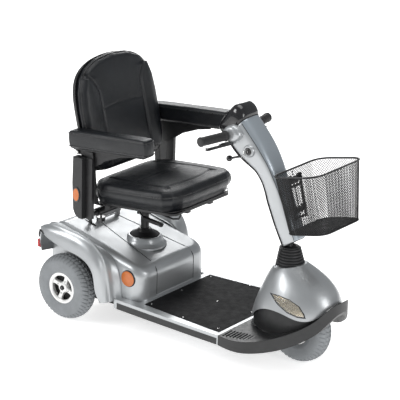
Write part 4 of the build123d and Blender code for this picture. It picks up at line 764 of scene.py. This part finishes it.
# Near-black patch on the cover at the freewheel lever: painted shade inside its slot.
slot = []
for lift in (-1, 0.7):
    ring = []
    for t in np.linspace(0, TAU, 40, endpoint=False):
        ring.append((FREEWHEEL_X + 28 * math.copysign(abs(math.cos(t)) ** 0.6, math.cos(t)),
                     FREEWHEEL_Y + 6 * math.sin(t),
                     float(body_height(FREEWHEEL_X + 28 * math.cos(t))) + lift))
    slot.append(ring)
finish_piece(loft("freewheel_slot_painted_shade", slot), SEAM_DARK_AND_PAINTED_SHADE, "chassis")

# -------------------- basket
BASKET_TILT = math.radians(12.5)
BASKET_AXIS = (math.cos(BASKET_TILT), 0, math.sin(BASKET_TILT))
BASKET_UP = (-math.sin(BASKET_TILT), 0, math.cos(BASKET_TILT))
basket_place = plane_at((376, 0, 742), BASKET_AXIS, BASKET_UP)
BASKET_FLOOR_U = 96
BASKET_FLOOR_HEIGHT = -220


def basket_ring(share, count, phase=0.0, grow=0.0):
    """Ring of the tapered bucket; share 0 at the floor and 1 at the rim."""
    length = 172 + 30 * share + 2 * grow
    half = 124 + 32 * share + grow
    corner = 42 + 10 * share
    centre = BASKET_FLOOR_U + 5 * share
    height = BASKET_FLOOR_HEIGHT + 217 * share
    front, rear = centre + length / 2 - corner, centre - length / 2 + corner
    corners = [(front, half - corner, 0), (rear, half - corner, 1), (rear, corner - half, 2),
               (front, corner - half, 3)]
    dense = []
    for u, v, quarter in corners:
        for t in np.linspace(0, 1, 12):
            angle = (quarter + t) * math.pi / 2
            dense.append((u + corner * math.cos(angle), v + corner * math.sin(angle)))
    dense = np.array(dense + dense[:1])
    lengths = np.concatenate([[0], np.cumsum(np.hypot(*np.diff(dense, axis=0).T))])
    at = (np.arange(count) + phase) / count * lengths[-1] % lengths[-1]
    us, vs = np.interp(at, lengths, dense[:, 0]), np.interp(at, lengths, dense[:, 1])
    return [(u, v, height) for u, v in zip(us, vs)]


def carried(place, points):
    return [tuple(c / MM for c in place @ Vector([c * MM for c in p])) for p in points]


MESH_COLUMNS = 92
MESH_ROWS = 44
FLOOR_ROWS = 20
mesh_points = []
for row in range(MESH_ROWS + 1):
    mesh_points += basket_ring(row / MESH_ROWS, MESH_COLUMNS, 0.5 * (row % 2))
for row in range(FLOOR_ROWS + 1):
    share = 1 - row / (FLOOR_ROWS + 1)
    mesh_points += [(BASKET_FLOOR_U + (u - BASKET_FLOOR_U) * share, v * share, BASKET_FLOOR_HEIGHT)
                    for u, v, _ in basket_ring(0, MESH_COLUMNS, 0.5 * (row % 2))]
mesh_faces = []
for start, rows in ((0, MESH_ROWS), (MESH_ROWS + 1, FLOOR_ROWS)):
    for row in range(rows - 1):
        for column in range(MESH_COLUMNS):
            shift = row % 2
            left = (column - 1 + shift) % MESH_COLUMNS
            right = (column + shift) % MESH_COLUMNS
            base = start + row
            mesh_faces.append((base * MESH_COLUMNS + column, (base + 1) * MESH_COLUMNS + right,
                               (base + 2) * MESH_COLUMNS + column, (base + 1) * MESH_COLUMNS + left))
wire_mesh = mesh_piece("basket_wire_mesh", carried(basket_place, mesh_points), mesh_faces, 80)
modify(wire_mesh, "WIREFRAME", thickness=2.7 * MM, use_even_offset=False, use_replace=True)
finish_piece(wire_mesh, BLACK_METAL, "basket", ("basket",))
hoops = []
for share, radius, lift in ((1, 3.6, 1), (0, 2.6, 0)):
    ring = [(u, v, h + lift) for u, v, h in basket_ring(share, 96, 0, 0.5)]
    hoops.append(tube("hoop", carried(basket_place, ring), radius, True))
for column in (39, 57):
    stay = [basket_ring(s, 96, 0, 0.6)[column] for s in (0, 0.5, 1)]
    hoops.append(tube("stay", carried(basket_place, stay), 1.7))
finish_piece(join("basket_frame_wires", hoops), BLACK_METAL, "basket")
HANGER_UP = (1, 0, 0.24)
bracket_parts, clip_parts = [], []
for side in (-34, 34):
    bracket_parts.append(box_along("upright", (381, side, 712), (419, side, 556), HANGER_UP,
                                   [(0, 6, -6, -2), (1, 6, -6, -2)]))
    for x, z in ((384, 700), (411, 590)):
        clip_parts.append(box_along("clip", (x - 9, side * 1.25, z), (x - 9, side * 0.6, z), HANGER_UP,
                                    [(0, 13, 0, 7), (1, 13, 0, 7)]))
for x, z in ((383, 706), (390, 676), (410, 596), (418, 562)):
    bracket_parts.append(box_along("rung", (x, -40, z), (x, 40, z), HANGER_UP,
                                   [(0, 4, -6, -2), (1, 4, -6, -2)]))
for x, z in ((386, 690), (413, 584)):
    bracket_parts.append(box_along("arm", (x - 42, 0, z - 6), (x - 4, 0, z), (0, 0, 1),
                                   [(0, 24, -8, 8), (1, 24, -8, 8)]))
finish_piece(join("basket_hanger", bracket_parts), BLACK_METAL, "tiller", ("basket_bracket",))
finish_piece(join("basket_clips", clip_parts), BLACK_METAL, "basket")

# -------------------- bellows
RIBS = 7
bellow_rings = []
for k in range(RIBS * 4 + 1):
    share = k / (RIBS * 4)
    at = Vector((379, 0, 366)).lerp(Vector((374, 0, 438)), share)
    radius = 53 - 17 * share + (3.2 if k % 4 in (1, 2) else -2.4)
    bellow_rings.append([(at.x + radius * math.cos(t), radius * math.sin(t), at.z)
                         for t in np.linspace(0, TAU, 64, endpoint=False)])
bellows = loft("steering_bellows", bellow_rings, smooth=50)
bellows.data.materials.append(RUBBER)
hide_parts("bellows")
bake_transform(bellows)

# -------------------- tiller shells
TILLER_STATIONS = [  # rear (x, z), front (x, z), half width
    ((357, 436), (424, 480), 39), ((334, 480), (418, 500), 41), ((314, 520), (404, 530), 42),
    ((296, 560), (386, 570), 42), ((280, 598), (369, 608), 42.5), ((269, 634), (350, 650), 44),
    ((256, 668), (330, 690), 48), ((232, 700), (303, 743), 53), ((196, 721), (276, 787), 57.5),
    ((160, 740), (247, 826), 59.5), ((126, 768), (215, 861), 60), ((99, 801), (180, 896), 60)]
SECTION_POWER = 3.4
SECTION_STEPS = 96


def section(rear, front, half, power=SECTION_POWER):
    """Rounded-box section between a rear and a front point; index 0 is the front."""
    made = []
    mid_x, mid_z = (rear[0] + front[0]) / 2, (rear[1] + front[1]) / 2
    to_x, to_z = (front[0] - rear[0]) / 2, (front[1] - rear[1]) / 2
    for k in range(SECTION_STEPS):
        angle = TAU * k / SECTION_STEPS
        c, s = math.cos(angle), math.sin(angle)
        c = math.copysign(abs(c) ** (2 / power), c)
        s = math.copysign(abs(s) ** (2 / power), s)
        made.append((mid_x + to_x * c, half * s, mid_z + to_z * c))
    return made


def stations(source, count):
    """Stations resampled along a smooth line."""
    flat = [(r[0], r[1], f[0], f[1], w) for r, f, w in source]
    return [((a, b), (c, d), w) for a, b, c, d, w in smooth_line(flat, count)]


def shell_strip(name, rings, first, last, thickness):
    """Part of the tiller skin between two section indices, thickened inwards."""
    picks = [k % SECTION_STEPS for k in range(first, last + 1)]
    points = [ring[k] for ring in rings for k in picks]
    piece = mesh_piece(name, points, loft_faces(len(rings), len(picks), False), 60)
    modify(piece, "SOLIDIFY", thickness=thickness * MM, offset=-1.0)
    return piece


tiller_rings = [section(r, f, w) for r, f, w in stations(TILLER_STATIONS, 64)]
FRONT_SPAN = 15
REAR_SPAN = 30
front_shell = shell_strip("tiller_front_skin", tiller_rings, -FRONT_SPAN, FRONT_SPAN, 3)
finish_piece(front_shell, FRONT_SILVER, "tiller", ("tiller_front_shell",))
side_skins = [shell_strip("side", tiller_rings, FRONT_SPAN, REAR_SPAN + 2, 3),
              shell_strip("side", tiller_rings, SECTION_STEPS - REAR_SPAN - 2, SECTION_STEPS - FRONT_SPAN, 3)]
rear_cover = shell_strip("tiller_rear_skin", tiller_rings, REAR_SPAN + 2, SECTION_STEPS - REAR_SPAN - 2, 3)
finish_piece(rear_cover, CHARCOAL, "tiller", ("tiller_rear_cover",))
foot = loft("tiller_foot", [section((356, 436), (424, 480), 38), section((360, 434), (420, 474), 34)],
            smooth=30)
finish_piece(foot, CHARCOAL, "tiller")


def scaled_ring(points, centre, share, y):
    """Side-view ring around the handlebar pod at one y."""
    return [(centre[0] + (x - centre[0]) * share, y, centre[1] + (z - centre[1]) * share) for x, z in points]


POD = [(108, 806), (140, 804), (168, 810), (186, 834), (176, 856), (150, 870), (118, 858), (102, 832)]
pod_line = smooth_line(POD + POD[:1], 49)[:-1]
pods = []
for side_name, side in SIDES:
    rings = [scaled_ring(pod_line, (143, 836), share, side * y)
             for share, y in ((1.04, 52), (1.0, 60), (0.96, 72), (0.86, 80), (0.72, 84), (0.42, 86),
                              (0.28, 85))]
    pods.append(loft("pod", rings, smooth=50))
KEY_X = 216
boss = turned("boss", [(14, 8), (15, 10), (19, 10.5), (22, 8), (24, 2), (25, -6)], (KEY_X, -58, 782),
              (0, -1, 0), 48)
side_shell = join("tiller_side_skin", side_skins + pods + [boss])
finish_piece(side_shell, SILVER, "tiller", ("tiller_side_shell",))

for span, place_name in ((FRONT_SPAN, "front"), (REAR_SPAN + 2, "rear")):
    seams = [tube("seam", [ring[k] for ring in tiller_rings[1:-1]], 0.9)
             for k in (span, SECTION_STEPS - span)]
    finish_piece(join(f"tiller_seam_{place_name}", seams), SEAM_DARK_AND_PAINTED_SHADE, "tiller")

CONSOLE_STATIONS = [((99, 801), (180, 896), 60.5), ((88, 808), (178, 910), 61), ((76, 816), (168, 927), 60),
                    ((66, 823), (154, 938), 57), ((60, 828), (142, 941), 53), ((57.5, 832), (130, 939), 49)]
console_rings = [section(r, f, w, 3.8) for r, f, w in stations(CONSOLE_STATIONS, 20)]
console_shell = loft("console_skin", console_rings, smooth=35)
finish_piece(console_shell, GLOSS_BLACK, "tiller", ("console",))
collar = tube("console_seam", section((100, 802), (181, 895), 60.6), 1.2, True)
finish_piece(collar, SEAM_DARK_AND_PAINTED_SHADE, "tiller")

# -------------------- grips
BAR_ROOT, BAR_TIP = (130, 70, 827), (104, 208, 827)
grips = []
for side_name, side in SIDES:
    root = Vector((BAR_ROOT[0], side * BAR_ROOT[1], BAR_ROOT[2]))
    tip = Vector((BAR_TIP[0], side * BAR_TIP[1], BAR_TIP[2]))
    out = (tip - root).normalized()
    reach = (tip - root).length
    profile = [(11.5, 15.5), (17, 16), (20, 18), (20, 21), (16.2, 24)]
    at = 26.0
    while at < reach - 14:
        profile += [(15.6, at), (17.0, at + 1.2), (17.0, at + 3.2), (15.6, at + 4.4)]
        at += 5.6
    profile += [(16.6, reach - 8), (18.4, reach - 5), (18.4, reach + 1), (15, reach + 4.5), (1, reach + 5)]
    grips.append(turned(f"{side_name}_grip", profile, root, out, 40))
finish_piece(join("ribbed_grips", grips), RUBBER, "tiller", ("grips",))

# -------------------- small trim
mat_screws = [screw_head("mat_screw", (x, y, 131), (0, 0, 1), 3.6, 1.8)
              for x in (-118, 52, 214) for y in (-186 if x < 0 else -212, 0, 186 if x < 0 else 212)]
finish_piece(join("mat_screws", mat_screws), STEEL, "chassis")


def oval_ring(side, share, lift):
    """Oval on an arm cover's outer face, scaled by share and raised by lift."""
    return [(-421 + 17 * share * math.cos(t), side * (276 + lift), 523 + 30 * share * math.sin(t))
            for t in np.linspace(0, TAU, 48, endpoint=False)]


for side_name, side in SIDES:
    reflector_at, outward = (-222, side * 200, 212), (0, side, 0)
    rim = turned(f"{side_name}_reflector_ring", [(30.2, -1), (34, -1), (34, 3), (31, 6.5), (30.2, 6)],
                 reflector_at, outward, 64)
    finish_piece(rim, CHARCOAL, "chassis")
    dome = turned(f"{side_name}_reflector_dome", [(0.5, 9.2), (12, 9), (24, 8), (29, 6.5), (29.5, 5)],
                  reflector_at, outward, 64)
    finish_piece(dome, AMBER, "chassis")
    oval_frame = [oval_ring(side, share, lift) for share, lift in ((1.0, 0), (1.0, 2.6), (0.86, 3.2))]
    oval = [oval_ring(side, share, lift) for share, lift in ((0.84, 2.4), (0.8, 4.2), (0.5, 5.0), (0.1, 5.2))]
    bezel = loft(f"{side_name}_oval_bezel", oval_frame, smooth=30)
    finish_piece(bezel, GLOSS_BLACK, f"{side_name}_arm")
    finish_piece(loft(f"{side_name}_oval_reflector", oval), AMBER, f"{side_name}_arm")
    pivot = screw_head(f"{side_name}_arm_pivot_bolt", (-438, side * 254, 684), (0, side, 0), 9, 5)
    finish_piece(pivot, STEEL, f"{side_name}_armrest")

ribs = []
for side_name, side in SIDES:
    for k in range(9):
        x = 262 + 13 * k
        inner = 190 - 1.5 * k
        outer = 252 - 3.4 * k
        z = 131 + 0.25 * k
        ribs.append(tube("rib", [(x, side * inner, z), (x + 3, side * outer, z)], 1.8))
finish_piece(join("bumper_ribs", ribs), CHARCOAL, "chassis")

key_ring = tube("key_ring", [(KEY_X, -100 + 9 * math.cos(t), 770 + 9 * math.sin(t))
                             for t in np.linspace(0, TAU, 32, endpoint=False)], 1.0, True)
finish_piece(key_ring, STEEL, "key")

# headlight bowls behind the clear lenses
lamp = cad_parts["headlight_lenses"].data.copy()
bowl = bpy.data.objects.new("headlight_bowls", lamp)
bpy.context.scene.collection.objects.link(bowl)
for vert in lamp.vertices:
    side = 1 if vert.co.y > 0 else -1
    pull = Vector((-0.35, -side * 0.93, -0.15)) * 7 * MM
    vert.co = vert.co + pull
finish_piece(bowl, BULB, "chassis")

# -------------------- CAD nodes that show
DRESS = {
    "silver": (SILVER, ["floor_pan", "front_shroud"]),
    "charcoal": (CHARCOAL, ["front_bumper", "shroud_infill", "rail_trims", "rear_bumper", "left_arm_cover",
                            "right_arm_cover", "headlight_bezels", "back_shell"]),
    "gloss": (GLOSS_BLACK, ["key_switch", "horn_button", "light_switch", "speed_dial", "drive_lever",
                            "tilt_lever", "left_width_knob", "right_width_knob"]),
    "metal": (BLACK_METAL, ["main_frame", "fork", "seat_frame", "seat_swivel", "left_arm_post",
                            "right_arm_post", "left_armrest_bracket", "right_armrest_bracket",
                            "tiller_column",
                            "swivel_lever", "slide_lever", "freewheel_lever", "seat_socket", "seat_post"]),
    "steel": (STEEL, ["key"]),
    "grey": (surface("handle_grey_plastic", (0.30, 0.30, 0.31), 0.42, vary=0.08), ["carry_handle"]),
    "alloy": (ALLOY, ["front_rim", "transaxle"]),
    "mat": (MAT, ["floor_mat"]),
    "amber": (AMBER, ["side_reflectors"]),
    "red": (RED, ["tail_lights"]),
    "clear": (CLEAR, ["headlight_lenses"]),
    "battery": (BATTERY, ["batteries"]),
}
for material, names in DRESS.values():
    for node in names:
        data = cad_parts[node].data
        data.materials.clear()
        data.materials.append(material)
        data.shade_smooth()
        data.set_sharp_from_angle(angle=math.radians(32))

# -------------------- floor, light and camera
FLOOR_HALF = 9000
floor = mesh_piece("floor", [(-FLOOR_HALF, -FLOOR_HALF, 0), (FLOOR_HALF, -FLOOR_HALF, 0),
                             (FLOOR_HALF, FLOOR_HALF, 0), (-FLOOR_HALF, FLOOR_HALF, 0)], [(0, 1, 2, 3)])
floor_material, floor_tree, floor_shader = new_material("pale_floor")
link(floor_tree, ramp(floor_tree, noise(floor_tree, 0.5, 2.0), (0.86, 0.86, 0.86), (0.88, 0.88, 0.88)),
     floor_shader.inputs["Base Color"])
floor_shader.inputs["Roughness"].default_value = 0.9
floor_shader.inputs["Specular IOR Level"].default_value = 0.0
floor_shader.inputs["Emission Color"].default_value = (1, 1, 1, 1)
floor_shader.inputs["Emission Strength"].default_value = 0.62
floor.data.materials.append(floor_material)


def area_light(name, place, aim, size, power, colour=(1, 1, 1)):
    """Soft box pointed at a place, in metres."""
    lamp_data = bpy.data.lights.new(name, "AREA")
    lamp_data.shape = "RECTANGLE"
    lamp_data.size, lamp_data.size_y = size
    lamp_data.energy = power
    lamp_data.color = colour
    made = bpy.data.objects.new(name, lamp_data)
    made.location = place
    made.rotation_mode = "QUATERNION"
    made.rotation_quaternion = (Vector(place) - Vector(aim)).to_track_quat("Z", "Y")
    bpy.context.scene.collection.objects.link(made)


area_light("overhead", (0.0, 0.2, 3.4), (0, 0, 0.3), (2.4, 1.6), 30)
area_light("key", (-2.4, -3.2, 2.6), (0, 0, 0.4), (1.6, 1.6), 62)
area_light("front_fill", (4.2, -0.4, 1.9), (0, 0, 0.5), (1.4, 1.8), 46)
area_light("back_rim", (-2.4, 3.0, 2.2), (0, 0, 0.6), (1.8, 1.4), 40)
world = bpy.data.worlds.new("studio")
world.use_nodes = True
sky = world.node_tree
plain = sky.nodes["Background"]
plain.inputs["Color"].default_value = (1, 1, 1, 1)
plain.inputs["Strength"].default_value = 0.75
dim = sky.nodes.new("ShaderNodeBackground")
dim.inputs["Color"].default_value = (0.92, 0.96, 1, 1)
dim.inputs["Strength"].default_value = 0.30
paths = sky.nodes.new("ShaderNodeLightPath")
blend = sky.nodes.new("ShaderNodeMixShader")
link(sky, paths.outputs["Is Glossy Ray"], blend.inputs["Fac"])
link(sky, plain.outputs["Background"], blend.inputs[1])
link(sky, dim.outputs["Background"], blend.inputs[2])
link(sky, blend.outputs["Shader"], sky.nodes["World Output"].inputs["Surface"])
bpy.context.scene.world = world
bpy.context.scene.view_settings.view_transform = "Standard"

AZIMUTH, ELEVATION, ROLL = math.radians(36.8), math.radians(19.7), math.radians(1.7)
back = Vector((math.sin(AZIMUTH) * math.cos(ELEVATION), -math.cos(AZIMUTH) * math.cos(ELEVATION),
               math.sin(ELEVATION)))
right = Vector((math.cos(AZIMUTH), math.sin(AZIMUTH), 0))
up = back.cross(right)
camera_x = right * math.cos(ROLL) + up * math.sin(ROLL)
camera_y = -right * math.sin(ROLL) + up * math.cos(ROLL)
camera_data = bpy.data.cameras.new("camera")
camera_data.sensor_width = 36
camera_data.lens = 181.9
camera_data.shift_x = 0.018
camera_data.shift_y = 0.038
camera = bpy.data.objects.new("camera", camera_data)
camera.matrix_world = (Matrix.Translation((4.2455, -5.7770, 3.0321))
                       @ Matrix((camera_x, camera_y, back)).transposed().to_4x4())
bpy.context.scene.collection.objects.link(camera)
bpy.context.scene.camera = camera
